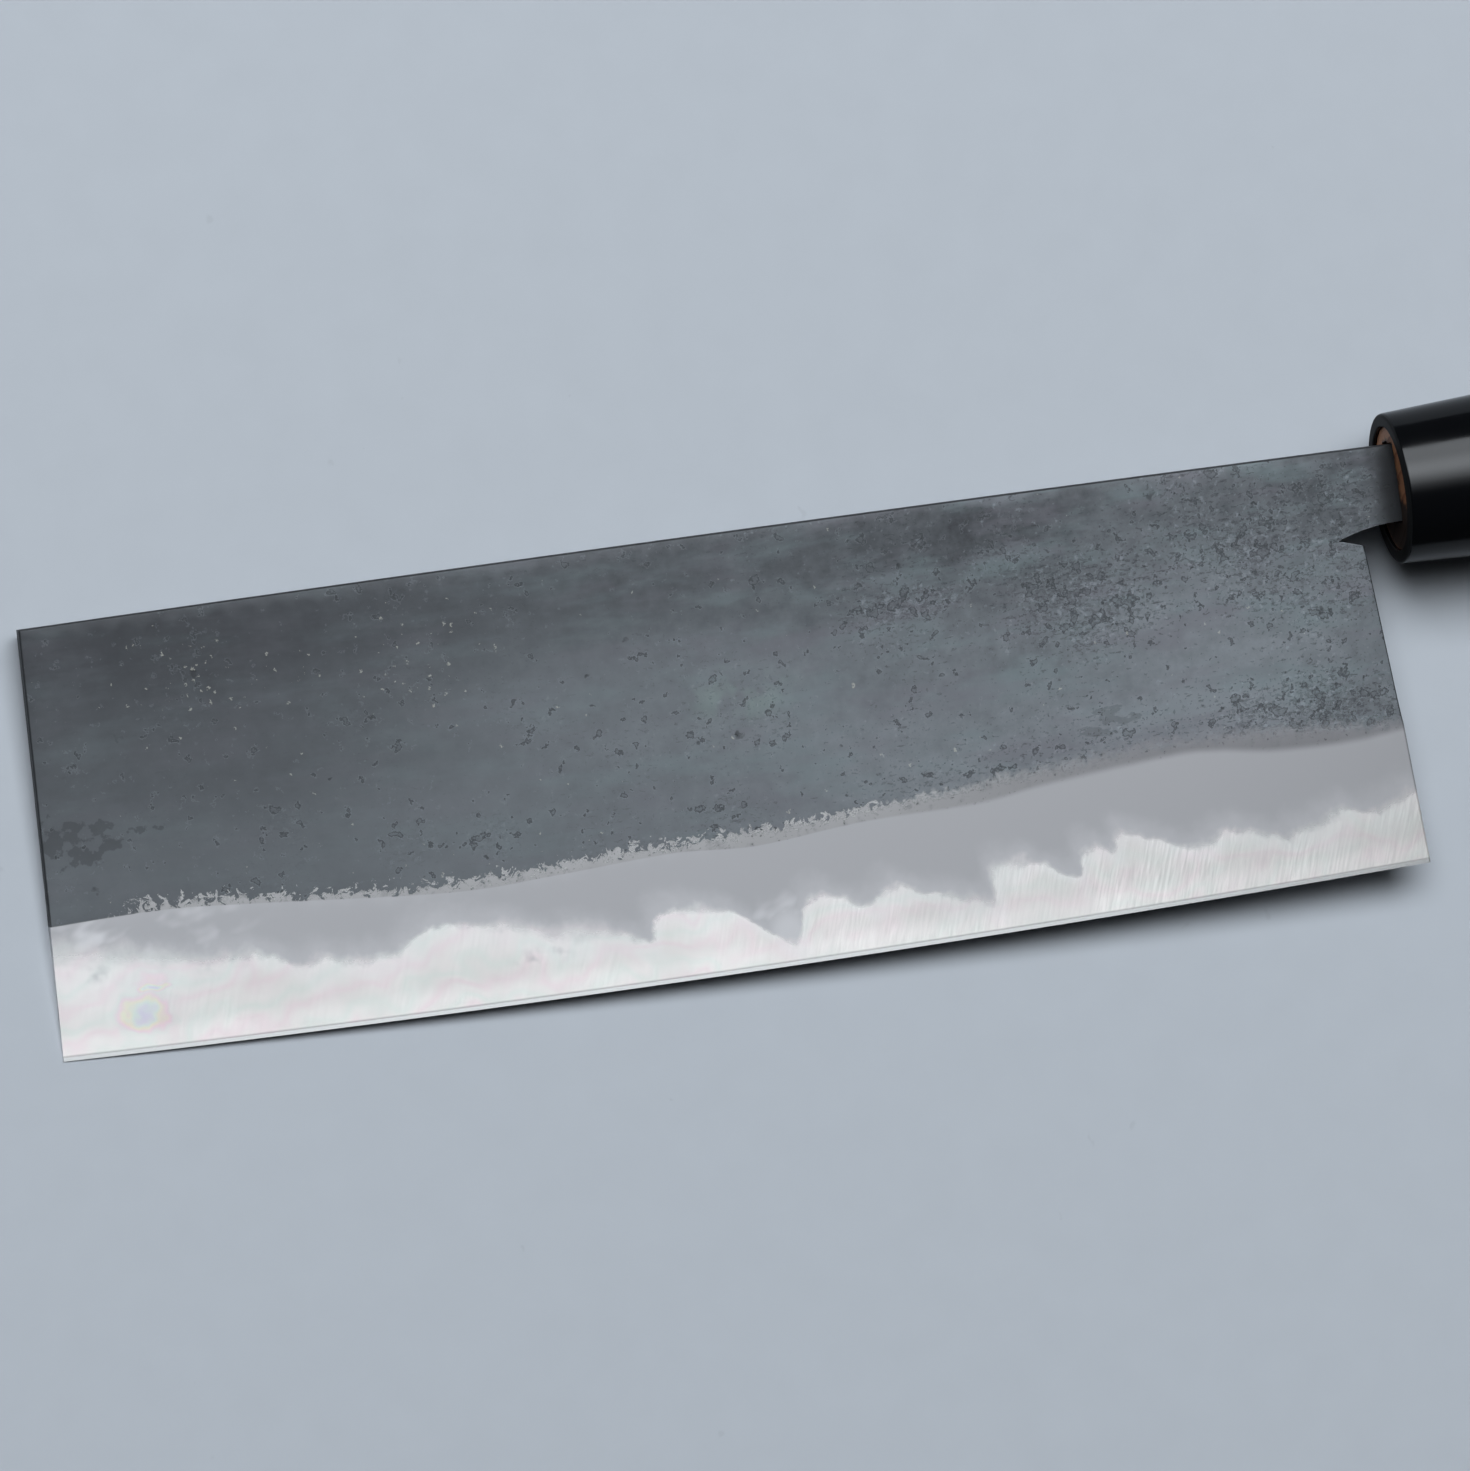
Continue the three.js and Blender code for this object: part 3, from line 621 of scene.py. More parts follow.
def forge_scale(add, spot, along, rise):
    """Colour of the black scale, its relief and its blotches."""
    colours = bpy.context.scene.cleaver_colours
    # Darkest at the tip by the spine, paler towards the heel and the grind as thinner scale and as painted
    # sheen; clouds of 25 mm, blotches and fine grain grow to the heel
    rough_share = fade(add, along, 20, 140, 0.2, 1.0)
    tone_and_sheen_share = fade(add, along, 20, 80, 0.28, 0.68)
    spine_fall = fade(add, along, 30, 80, -0.18, -0.4)
    for value, strength in (
            (fade(add, along, 115, 138), 0.18), (fade(add, along, 142, 160), -0.17),
            (fade(add, rise, 33, 47), spine_fall), (fade(add, rise, 32, 20), 0.18),
            (patches(add, spot, (72, 20, 32, 10)), -0.2), (patches(add, spot, (112, 47, 22, 9)), -0.08),
            (patches(add, spot, (139, 21, 13, 6)), 0.15),
            (patches(add, spot, (158, 19, 14, 10)), -0.27)):
        tone_and_sheen_share = add("MULTIPLY_ADD", value, strength, tone_and_sheen_share)
    blotch = None
    for width, detail, strength in ((25, 3, 0.12), (6, 5, 0.26), (2.5, 5, 0.34), (0.8, 3, 0.12)):
        blotch = add("TexNoise", {"Vector": spot, "Scale": 1 / width, "Detail": detail, "Roughness": 0.6})
        part = add("MapRange", blotch, 0, 1, -strength, strength)
        tone_and_sheen_share = add("MULTIPLY_ADD", part, rough_share, tone_and_sheen_share)
    tone_and_sheen_share = add("ADD", tone_and_sheen_share, 0.0, use_clamp=True)
    scale = blend(add, tone_and_sheen_share, colours.scale_dark, colours.scale_pale)
    # Long streaks of teal and plum, as left by the quench
    streak_place = add("Mapping", {"Vector": spot, "Scale": (16, 4.5, 1)}, vector_type="TEXTURE")
    for offset, colour in ((0, colours.scale_teal), (9, colours.scale_plum)):
        moved = add("VectorMath", streak_place, (offset, offset, offset), operation="ADD")
        hue = add("TexNoise", {"Vector": moved, "Scale": 1.0, "Detail": 4, "Roughness": 0.6})
        hue = add("MULTIPLY", fade(add, hue, 0.46, 0.7), rough_share)
        scale = blend(add, add("MULTIPLY", hue, 0.6), scale, colour)
    # A soft green film, and stains with crisp branching edges by the tip and above the grind at the heel
    veil = fade(add, marks(add, spot, 4, 0.4, 2), 0.0, 0.25, 0.0, 0.32)
    film = add("MULTIPLY", patches(add, spot, (82.5, 32.5, 9, 4.5)), veil)
    scale = blend(add, film, scale, colours.scale_mint)
    lying = add("Mapping", {"Vector": spot, "Scale": (2.6, 1, 1)}, vector_type="TEXTURE")
    for place, width, strength, *places in (
            (spot, 2.6, 0.4, (3.5, 25, 11, 6), (10, 25.5, 6, 1)),
            (lying, 1.3, 0.28, (125.5, 23, 6.5, 3.5))):
        bar = add("MapRange", patches(add, spot, *places), 0, 1, 0.72, 0.46)
        stain = add("MapRange", marks(add, place, width, bar, 7), 0, 0.03, 0, strength)
        scale = blend(add, stain, scale, colours.scale_pit)
    # Pits, dashes and flecks crowd together, more of them towards the heel
    crowd = add("TexNoise", {"Vector": spot, "Scale": 1 / 12, "Detail": 3})
    ease = add("MapRange", crowd, 0.35, 0.65, 0.05, -0.03)
    ease = add("MULTIPLY_ADD", rough_share, -0.02, ease)
    crowded = patches(
        add, spot, (27, 24.5, 6, 3.5), (36, 35, 5, 2.5), (41, 20, 6, 4), (52, 19.5, 6, 4), (80, 19, 9, 4),
        (105, 40, 12, 3), (124, 36, 20, 11), (150, 39, 18, 16), (150, 21, 18, 8))
    ease = add("MULTIPLY_ADD", crowded, -0.07, ease)
    worn = marks(add, spot, 0.9, add("ADD", ease, 0.61), 6)
    worn = add("MULTIPLY", fade(add, worn, 0.0, 0.14, 0.0, 0.34), rough_share)
    scale = blend(add, worn, scale, colours.scale_worn)
    relief = 0.0
    # Fine dashes, grains and scribbled pits, whose floor is paler than their rim and whose brim is worn
    for place, width, bar, strength, brim in (
            (lying, 0.45, 0.65, 0.5, 0.0), (spot, 0.5, 0.64, 0.45, 0.0), (spot, 1.7, 0.64, 0.7, 0.12)):
        level = marks(add, place, width, add("ADD", ease, bar), 4)
        if brim:
            scale = blend(add, fade(add, level, -0.04, -0.01, 0.0, brim), scale, colours.scale_worn)
        inside = fade(add, level, -0.01, 0.02, 0.0, strength)
        inside = add("MULTIPLY", inside, fade(add, level, 0.03, 0.07, 1.0, 0.4))
        if not brim:
            inside = add("MULTIPLY", inside, rough_share)
        scale = blend(add, inside, scale, colours.scale_pit)
        relief = add("SUBTRACT", relief, inside)
    # Single small pits, few on the left and more among the crowded marks
    share = add("MULTIPLY_ADD", crowded, 0.22, 0.1)
    holes = specks(add, spot, 2.4, 0.55, share, 1.3)
    scale = blend(add, add("MULTIPLY", holes, 0.6), scale, colours.scale_pit)
    relief = add("SUBTRACT", relief, holes)
    flecked = patches(add, spot, (17, 43, 9, 6), (19, 39, 9, 5), (30, 41, 6, 6), (46, 41, 12, 9))
    share = add("MULTIPLY_ADD", flecked, 0.65, 0.025)
    flecks = specks(add, spot, 0.8, 0.25, share, 0.9)
    scale = blend(add, add("MULTIPLY", flecks, 0.48), scale, colours.scale_fleck)
    return scale, add("MULTIPLY_ADD", flecks, 0.5, relief), blotch


def blade_metal(name):
    """Three-layer blade metal: hand-forged, ground and stone-polished.

    Above the grind line stays the black scale of the forge, satin, pitted and flecked; below it the
    soft iron is hazy grey, and under the wavy weld line the hard steel is bright to the edge.
    """
    colours = bpy.context.scene.cleaver_colours
    material, add = new_material(name)
    spot = add("Attribute", out="Vector", attribute_name="blade_mm")
    along = add("SeparateXYZ", spot)
    rise = along.node.outputs["Y"]
    ground, ground_rough, scratch = ground_bevel(add, spot, along, rise)
    scale, relief, blotch = forge_scale(add, spot, along, rise)

    # Fringe of bare iron from the smooth grind up to the torn edge of the scale, calmer at the heel
    smooth_top = line_height(add, along, smooth_line(SMOOTH_LINE))
    off_smooth = add("SUBTRACT", rise, smooth_top)
    past_grind = add("SUBTRACT", rise, line_height(add, along, GRIND_CURVE))
    heel_share = fade(add, along, 85, 130)
    tear = add(
        "TexNoise", {"Vector": spot, "Scale": 1 / 1.2, "Detail": 6, "Roughness": 0.7, "Distortion": 0.8})
    torn = add("MapRange", tear, 0, 1, -6.2, 5.8)
    calm = add("MULTIPLY", fade(add, along, 8, 16, 1.1, 0.75), fade(add, along, 55, 120, 1.0, 0.42))
    ragged = add("MULTIPLY_ADD", torn, calm, past_grind)
    for start, end, low, high in (
            (5, 9, 2.6, 0.0), (45, 58, 0.0, -0.2), (66, 80, 0.0, 0.5), (92, 105, 0.0, 0.4),
            (122, 132, 0.0, -0.45)):
        ragged = add("ADD", ragged, fade(add, along, start, end, low, high))
    foot_low = add("MULTIPLY_ADD", heel_share, -0.35, -0.05)
    foot_high = add("MULTIPLY_ADD", heel_share, 0.6, 0.12)
    off_grind = fade(add, off_smooth, foot_low, foot_high)
    soft_top = add("MULTIPLY_ADD", heel_share, 1.4, 0.2)
    soft_foot = add("MULTIPLY_ADD", heel_share, -0.8, -0.1)
    is_scale = add("MULTIPLY", fade(add, ragged, soft_foot, soft_top), off_grind)
    depth = add("MapRange", ragged, -1.0, 0.1)
    outline = add(
        "ValToRGB", {"Fac": depth},
        stops=[(0.0, colours.fringe), (0.5, colours.fringe), (0.62, colours.fringe_line),
               (0.76, colours.fringe_light)])
    fringe = blend(add, fade(add, along, 90, 135), outline, colours.fringe_heel)
    smudge = fade(add, marks(add, spot, 2.0, 0.52, 5), 0.0, 0.16, 0.0, 0.5)
    fringe = blend(add, smudge, fringe, colours.fringe_line)
    grit = fade(add, marks(add, spot, 0.5, 0.62), 0.0, 0.08, 0.0, 0.5)
    fringe = blend(add, grit, fringe, colours.scale_dark)
    ground = blend(add, off_grind, ground, fringe)

    # Soot of the burnt-in tang on the neck, with painted shade where the ferrule shadows the neck
    on_neck = fade(add, rise, 36, 39, 0.0, 0.9)
    soot_and_shade = add("MULTIPLY", fade(add, along, 160.8, 163.6), on_neck)
    scale = blend(add, soot_and_shade, scale, colours.scale_pit)
    # Painted shade: a dark outline along the spine, the tip and the heel, where their rounded edges turn from
    # the light
    rim = add("Attribute", out="Fac", attribute_name="rim")
    scale = blend(add, fade(add, rim, 0.05, 0.55, 0.0, 0.95), scale, colours.scale_pit)
    heel_rim_shade = add("MULTIPLY", rim, fade(add, along, 100, 150, 0.0, 0.6))
    ground = blend(add, heel_rim_shade, ground, colours.scale_pit)
    colour = blend(add, is_scale, ground, scale)
    metallic = add("MapRange", is_scale, 0, 1, 1.0, 0.25)
    scale_rough = add("MapRange", blotch, 0, 1, 0.45, 0.65)
    roughness = add("Mix", {0: is_scale, 2: ground_rough, 3: scale_rough})
    height = add("ADD", relief, 0.4)
    height = add("MULTIPLY", height, is_scale)
    height = add("MULTIPLY_ADD", scratch, 0.05, height)
    bump = add("Bump", {"Height": height, "Distance": 0.04 * MM, "Strength": 0.7})
    shader = add(
        "BsdfPrincipled",
        {"Base Color": colour, "Metallic": metallic, "Roughness": roughness, "Normal": bump})
    add("OutputMaterial", {"Surface": shader})
    return material


def moulded_resin():
    """Black resin, moulded and buffed: a deep gloss with faint haze, less of it on the sawn front rim."""
    colours = bpy.context.scene.cleaver_colours
    material, add = new_material("Buffed black resin")
    spot = add("Attribute", out="Vector", attribute_name="handle_mm")
    haze = add("TexNoise", {"Vector": spot, "Scale": 1 / 4, "Detail": 4})
    front = fade(add, add("SeparateXYZ", spot), 0.3, 0.05)
    gloss = add("MapRange", haze, 0, 1, 0.1, 0.2)
    rough = add("Mix", {0: front, 2: gloss, 3: 0.6})
    dust = specks(add, spot, 1.6, 0.14, 0.06, 0.2)
    colour = blend(add, front, colours.resin, colours.resin_sawn)
    ripple = add("TexNoise", {"Vector": spot, "Scale": 1 / 1.5, "Detail": 2})
    height = add("MULTIPLY_ADD", dust, -0.6, ripple)
    bump = add("Bump", {"Height": height, "Distance": 0.004 * MM, "Strength": 0.5})
    shader = add("BsdfPrincipled", {"Base Color": colour, "Roughness": rough, "IOR": 1.3, "Normal": bump})
    add("OutputMaterial", {"Surface": shader})
    return material


def bare_magnolia():
    """Magnolia, turned, sanded and left bare: fine straight grain, dull, burnt dark round the tang."""
    colours = bpy.context.scene.cleaver_colours
    material, add = new_material("Bare sanded magnolia")
    spot = add("Attribute", out="Vector", attribute_name="handle_mm")
    burnt = add("Attribute", out="Fac", attribute_name="burnt")
    # Growth rings 2.4 mm apart round a pith that lies outside the handle
    drift = add("TexNoise", {"Vector": spot, "Scale": 1 / 18, "Detail": 3})
    across = add("VectorMath", spot, (0, -38, 22), operation="SUBTRACT")
    level = add("VectorMath", across, (0.04, 1, 1), operation="MULTIPLY")
    from_pith = add("VectorMath", level, out="Value", operation="LENGTH")
    wavy = add("MULTIPLY_ADD", drift, 3.5, from_pith)
    rings = add("MULTIPLY", wavy, 1 / 2.4)
    ring = add("FRACT", rings)
    late = add(
        "ValToRGB", {"Fac": ring},
        stops=[(0.0, (0, 0, 0, 1)), (0.75, (0.35, 0.35, 0.35, 1)), (0.95, (1, 1, 1, 1)),
               (1.0, (0, 0, 0, 1))])
    # Fibres 0.2 mm wide and 9 mm long
    fibre_place = add("Mapping", {"Vector": spot, "Scale": (9, 0.2, 0.2)}, vector_type="TEXTURE")
    fibre = add("TexNoise", {"Vector": fibre_place, "Scale": 1.0, "Detail": 2})
    mixed = add("MULTIPLY_ADD", fibre, 0.6, late)
    grain = add("MapRange", mixed, 0.15, 1.3)
    wood = blend(add, grain, colours.wood_early, colours.wood_late)
    flake = add("TexNoise", {"Vector": spot, "Scale": 1 / 0.7, "Detail": 4})
    ragged = add("SUBTRACT", flake, 0.5)
    scorch = add("MULTIPLY_ADD", ragged, 0.9, burnt)
    # Painted shade below the tang darkens the front, over the char round the socket
    place = add("SeparateXYZ", spot)
    low = fade(add, place.node.outputs["Y"], -0.5, -3.5)
    soot_and_shade = add("MULTIPLY_ADD", fade(add, place, 3, 1.5), low, scorch)
    colour = blend(add, fade(add, soot_and_shade, 0.6, 1.15, 0.0, 0.96), wood, colours.char)
    bump = add("Bump", {"Height": fibre, "Distance": 0.03 * MM, "Strength": 0.4})
    rough = add("MapRange", grain, 0, 1, 0.5, 0.65)
    shader = add("BsdfPrincipled", {"Base Color": colour, "Roughness": rough, "Normal": bump})
    add("OutputMaterial", {"Surface": shader})
    return material


def painted_table():
    """Table top under matt paint: pale blue grey with a faint roller mottle and a few marks."""
    colours = bpy.context.scene.cleaver_colours
    material, add = new_material("Matt table paint")
    place = add("TexCoord", out="Object")
    mottle = add("TexNoise", {"Vector": place, "Scale": 1 / (6 * MM), "Detail": 5})
    shade = add("MapRange", mottle, 0, 1, 0.97, 1.03)
    spot = add("VectorMath", {0: place, "Scale": 1 / MM}, operation="SCALE")
    shade = add("MULTIPLY_ADD", specks(add, spot, 5, 0.7, 0.2, 3), -0.07, shade)
    colour = add("VectorMath", {0: colours.table[:3], "Scale": shade}, operation="SCALE")
    shader = add("BsdfPrincipled", {"Base Color": colour, "Roughness": 0.7})
    add("OutputMaterial", {"Surface": shader})
    return material


def knife_matrix():
    """From the knife's own drawing to the frame, by the flats and the butt that the record names."""
    blade = bpy.context.scene.cleaver_blade
    handle = bpy.context.scene.cleaver_handle
    mounts = {mount["name"]: mount for mount in frame["record"]["mounts"]}
    left = Vector(mounts["blade_left_flat"]["axis"])
    right = Vector(mounts["blade_right_flat"]["axis"])
    across = (left - right).normalized()
    grip = Vector(mounts["butt_end"]["axis"])
    grip = (grip - across * grip.dot(across)).normalized()
    along = Quaternion(across, -handle.rise) @ grip
    up = across.cross(along)
    butt = Vector((
        blade.ferrule_x() + handle.length * math.cos(handle.rise),
        handle.length * math.sin(handle.rise) - handle.axis_depth))
    origin = Vector(mounts["butt_end"]["pos_m"]) - along * butt.x - up * butt.y
    matrix = Matrix((along, up, across)).transposed().to_4x4()
    matrix.translation = origin
    return matrix


def handle_matrix():
    """From the handle's own axis to the knife's drawing."""
    blade = bpy.context.scene.cleaver_blade
    handle = bpy.context.scene.cleaver_handle
    place = Matrix.Translation((blade.ferrule_x(), -handle.axis_depth, 0))
    return place @ Matrix.Rotation(handle.rise, 4, "Z")


def add_piece(name, points, faces, matrix, material, creases=(), sharp=math.radians(40)):
    """Mesh object in the frame, smooth but for sharp edges and creases (pairs of points)."""
    made = bmesh.new()
    verts = [made.verts.new(matrix @ point) for point in points]
    for face in faces:
        made.faces.new([verts[i] for i in face]).smooth = True
    made.normal_update()
    for edge in made.edges:
        edge.smooth = len(edge.link_faces) == 2 and edge.calc_face_angle() < sharp
    for a, b in creases:
        edge = made.edges.get((verts[a], verts[b]))
        if edge:
            edge.smooth = False
    mesh = bpy.data.meshes.new(name)
    made.to_mesh(mesh)
    made.free()
    mesh.materials.append(material)
    piece = bpy.data.objects.new(name, mesh)
    bpy.context.scene.collection.objects.link(piece)
    return piece


def give(piece, name, kind, values):
    """Adds a value for each point of a piece's mesh."""
    attribute = piece.data.attributes.new(name, kind, "POINT")
    for item, value in zip(attribute.data, values):
        if kind == "FLOAT_VECTOR":
            item.vector = value
        else:
            item.value = value


def blade_outline(blade):
    """Profile of blade, neck and tang, anticlockwise from the tip's spine corner."""
    handle = bpy.context.scene.cleaver_handle
    heel = Vector((blade.heel_x(), -blade.heel_height))
    corner_y = -blade.shoulder_depth - blade.shoulder_radius
    corner = Vector((blade.heel_line_x(corner_y), corner_y))
    shoulder = Vector((blade.shoulder_x(), -blade.shoulder_depth))
    notch = shoulder + Vector((-blade.notch_depth, blade.notch_rise))
    lip = lerp(shoulder, notch, blade.shoulder_radius / blade.notch_depth)
    neck = Vector((blade.ferrule_x(), -blade.neck_height))
    hollow = (notch + neck) / 2 + Vector((0, 2 * blade.neck_hollow))
    tang_axis = -handle.axis_depth + blade.tang_length * math.tan(handle.rise)
    tang_low = Vector((blade.tang_end_x(), tang_axis - blade.tang_end_height / 2))
    tang_high = Vector((blade.tang_end_x(), tang_axis + blade.tang_end_height / 2))
    top = Vector((blade.ferrule_x(), 0))
    outline = [Vector((blade.tip_x(y), y)) for y in steps(0, -blade.tip_height, SHEET_STEP)[:-1]]
    edge = steps(-blade.tip_lean, blade.heel_x(), SHEET_STEP)[:-1]
    outline += [Vector((x, blade.edge_y(x))) for x in edge]
    outline += [lerp(heel, corner, share) for share in steps(0, 1, HEEL_SHARE)[:-1]]
    outline += bend(corner, shoulder, lip)
    outline += [lip]
    outline += bend(notch, hollow, neck)
    outline += [lerp(neck, tang_low, share) for share in steps(0, 1, TANG_SHARE)[:-1]]
    outline += [tang_low]
    outline += [lerp(tang_high, top, share) for share in steps(0, 1, TANG_SHARE)[:-1]]
    outline += [Vector((x, blade.spine_y(x))) for x in steps(blade.ferrule_x(), 0, SHEET_STEP)[:-1]]
    return outline


def blade_sheet(blade):
    """Flat net of the blade's profile: points, triangles and the creases along the weld and the edge."""
    past = 1 * MM
    run = steps(-blade.tip_lean - past, blade.heel_x() + past, SHEET_STEP)
    rows = [[Vector((x, blade.edge_y(x) + blade.weld(x))) for x in run],
            [Vector((x, blade.edge_y(x) + blade.cutting_bevel)) for x in run],
            [Vector((x, blade.edge_y(x) + blade.grind(x))) for x in run]]
    for share in (0.15, 0.45, 1.0):
        inset = share * blade.rim_radius
        spine = steps(-past, blade.ferrule_x(), SHEET_STEP)
        rows.append([Vector((x, blade.spine_y(x) - inset)) for x in spine])
        tip = steps(past, -blade.tip_height - past, SHEET_STEP)
        rows.append([Vector((blade.tip_x(y) + inset, y)) for y in tip])
        heel = steps(-blade.shoulder_depth - past, -blade.heel_height - past, SHEET_STEP)
        rows.append([Vector((blade.heel_line_x(y) - inset, y)) for y in heel])
    points = blade_outline(blade)
    edges = [(i, (i + 1) % len(points)) for i in range(len(points))]
    crease_ids = set()
    for number, row in enumerate(rows):
        start = len(points)
        points += row
        for i in range(len(row) - 1):
            if number < 2:
                crease_ids.add(len(edges))
            edges.append((start + i, start + i + 1))
    near = kdtree.KDTree(len(points))
    for i, point in enumerate(points):
        near.insert(point.to_3d(), i)
    near.balance()
    for i, x in enumerate(steps(0, blade.ferrule_x(), SHEET_ROW)):
        for y in steps(0, -blade.heel_height, SHEET_GRID):
            point = Vector((x, y + (i % 2) * SHEET_GRID / 2))
            if near.find(point.to_3d())[2] > SHEET_CLEAR:
                points.append(point)
    flat, lines, faces, _, origins, _ = geometry.delaunay_2d_cdt(points, edges, [], 1, MERGE)
    used = sorted({i for face in faces for i in face})
    index = {old: new for new, old in enumerate(used)}
    creases = [tuple(index[i] for i in line) for line, ids in zip(lines, origins)
               if crease_ids.intersection(ids) and all(i in index for i in line)]
    return [flat[i] for i in used], [tuple(index[i] for i in face) for face in faces], creases


def add_layer(name, blade, sheet, faces, tops, bottoms, material):
    """Closed layer over part of the blade's net, between two heights at each point."""
    net, _, creases = sheet
    faces = [face for face in faces if any(tops[i] - bottoms[i] > THIN for i in face)]
    used = sorted({i for face in faces for i in face})
    points = [Vector((*net[i], tops[i])) for i in used]
    upper = {old: new for new, old in enumerate(used)}
    lower = dict(upper)
    for i in used:
        if tops[i] - bottoms[i] > THIN:
            lower[i] = len(points)
            points.append(Vector((*net[i], bottoms[i])))
    skin = [tuple(upper[i] for i in face) for face in faces]
    skin += [tuple(lower[i] for i in reversed(face)) for face in faces]
    sides = [(a, b) for face in faces for a, b in zip(face, face[1:] + face[:1])]
    twins = set(sides)
    for a, b in sides:
        if (b, a) not in twins:
            wall = dict.fromkeys((lower[a], lower[b], upper[b], upper[a]))
            if len(wall) > 2:
                skin.append(tuple(wall))
    folds = [(half[a], half[b]) for half in (upper, lower) for a, b in creases if a in half and b in half]
    piece = add_piece(name, points, skin, knife_matrix(), material, folds)
    far_face = 60  # keeps the pattern of the far face apart from that of the near one
    give(piece, "blade_mm", "FLOAT_VECTOR", [
        (p.x / MM, (p.y - blade.edge_y(p.x)) / MM, far_face * (p.z < 0)) for p in points])
    give(piece, "rim", "FLOAT", [max(0, 1 - blade.to_rim(p.x, p.y) / blade.rim_radius) for p in points])
    return piece


def loft(rings):
    """Faces of a skin over rings of like points."""
    sides = len(rings[0])
    faces = []
    for band in range(len(rings) - 1):
        for side in range(sides):
            after = (side + 1) % sides
            here, there = band * sides, (band + 1) * sides
            faces.append((here + side, here + after, there + after, there + side))
    return faces


def quarter_round(handle, s, radius, facing, count=6):
    """Rings round an edge of the handle: from its end face out to its side."""
    rings = []
    for i in range(count + 1):
        angle = math.pi / 2 * i / count
        place = s - facing * radius * (1 - math.sin(angle))
        rings.append(handle.ring(place, radius * (1 - math.cos(angle))))
    return rings[::-1] if facing < 0 else rings


class CLEAVER_OT_core(bpy.types.Operator):
    """Build the hard core of the blade, from the edge through the neck into the tang"""

    bl_idname = "cleaver.core"
    bl_label = "Core steel"

    def execute(self, context):
        blade = context.scene.cleaver_blade
        sheet = blade_sheet(blade)
        net, faces, _ = sheet
        tops = [min(blade.half(*p, 1), blade.core_half(p.x)) for p in net]
        bottoms = [-min(blade.half(*p, -1), blade.core_half(p.x)) for p in net]
        steel = blade_metal("Stone-polished steel")
        piece = add_layer("core_layer", blade, sheet, faces, tops, bottoms, steel)
        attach(piece, "root")
        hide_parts("core_steel")
        return {"FINISHED"}


class CLEAVER_OT_cladding(bpy.types.Operator):
    """Build the two soft iron layers that are forge-welded on the core"""

    bl_idname = "cleaver.cladding"
    bl_label = "Iron cladding"

    def execute(self, context):
        blade = context.scene.cleaver_blade
        sheet = blade_sheet(blade)
        net, faces, _ = sheet
        over_weld = [p.y - blade.edge_y(p.x) - blade.weld(p.x) for p in net]
        kept = [face for face in faces if sum(over_weld[i] for i in face) > ON_WELD]
        iron = blade_metal("Forge-scaled soft iron")
        for name, node, side in (("left_cladding_layer", "cladding_left", 1),
                                 ("right_cladding_layer", "cladding_right", -1)):
            outer = [blade.half(*p, side) for p in net]
            inner = [min(high, blade.core_half(p.x) + blade.weld_seam) for p, high in zip(net, outer)]
            tops, bottoms = (outer, inner) if side > 0 else ([-z for z in inner], [-z for z in outer])
            piece = add_layer(name, blade, sheet, kept, tops, bottoms, iron)
            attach(piece, "root")
            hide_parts(node)
        return {"FINISHED"}


class CLEAVER_OT_ferrule(bpy.types.Operator):
    """Build the black oval ferrule, open at the front"""

    bl_idname = "cleaver.ferrule"
    bl_label = "Ferrule"

    def execute(self, context):
        handle = context.scene.cleaver_handle
        end = handle.ferrule_length
        rim, joint, lip = handle.ferrule_rim, handle.joint_round, handle.bore_round
        rings = quarter_round(handle, 0, rim, -1)
        rings += [handle.ring(s) for s in steps(rim, end - joint, FERRULE_STEP)[1:]]
        rings += quarter_round(handle, end, joint, 1, 3)[1:]
        rings += [handle.bore(s) for s in steps(end, lip, GRIP_STEP)]
        for angle in steps(0, math.pi / 2, 0.4)[1:]:
            rings.append(handle.bore(lip * (1 - math.sin(angle)), lip * (1 - math.cos(angle))))
        rings.append(rings[0])
        faces = loft(rings)
        last = (len(rings) - 1) * OVAL_SIDES
        faces = [tuple(i - last if i >= last else i for i in face) for face in faces]
        points = [point for ring in rings[:-1] for point in ring]
        place = knife_matrix() @ handle_matrix()
        piece = add_piece("ferrule_collar", points, faces, place, moulded_resin())
        give(piece, "handle_mm", "FLOAT_VECTOR", [p / MM for p in points])
        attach(piece, "root")
        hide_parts("ferrule")
        return {"FINISHED"}


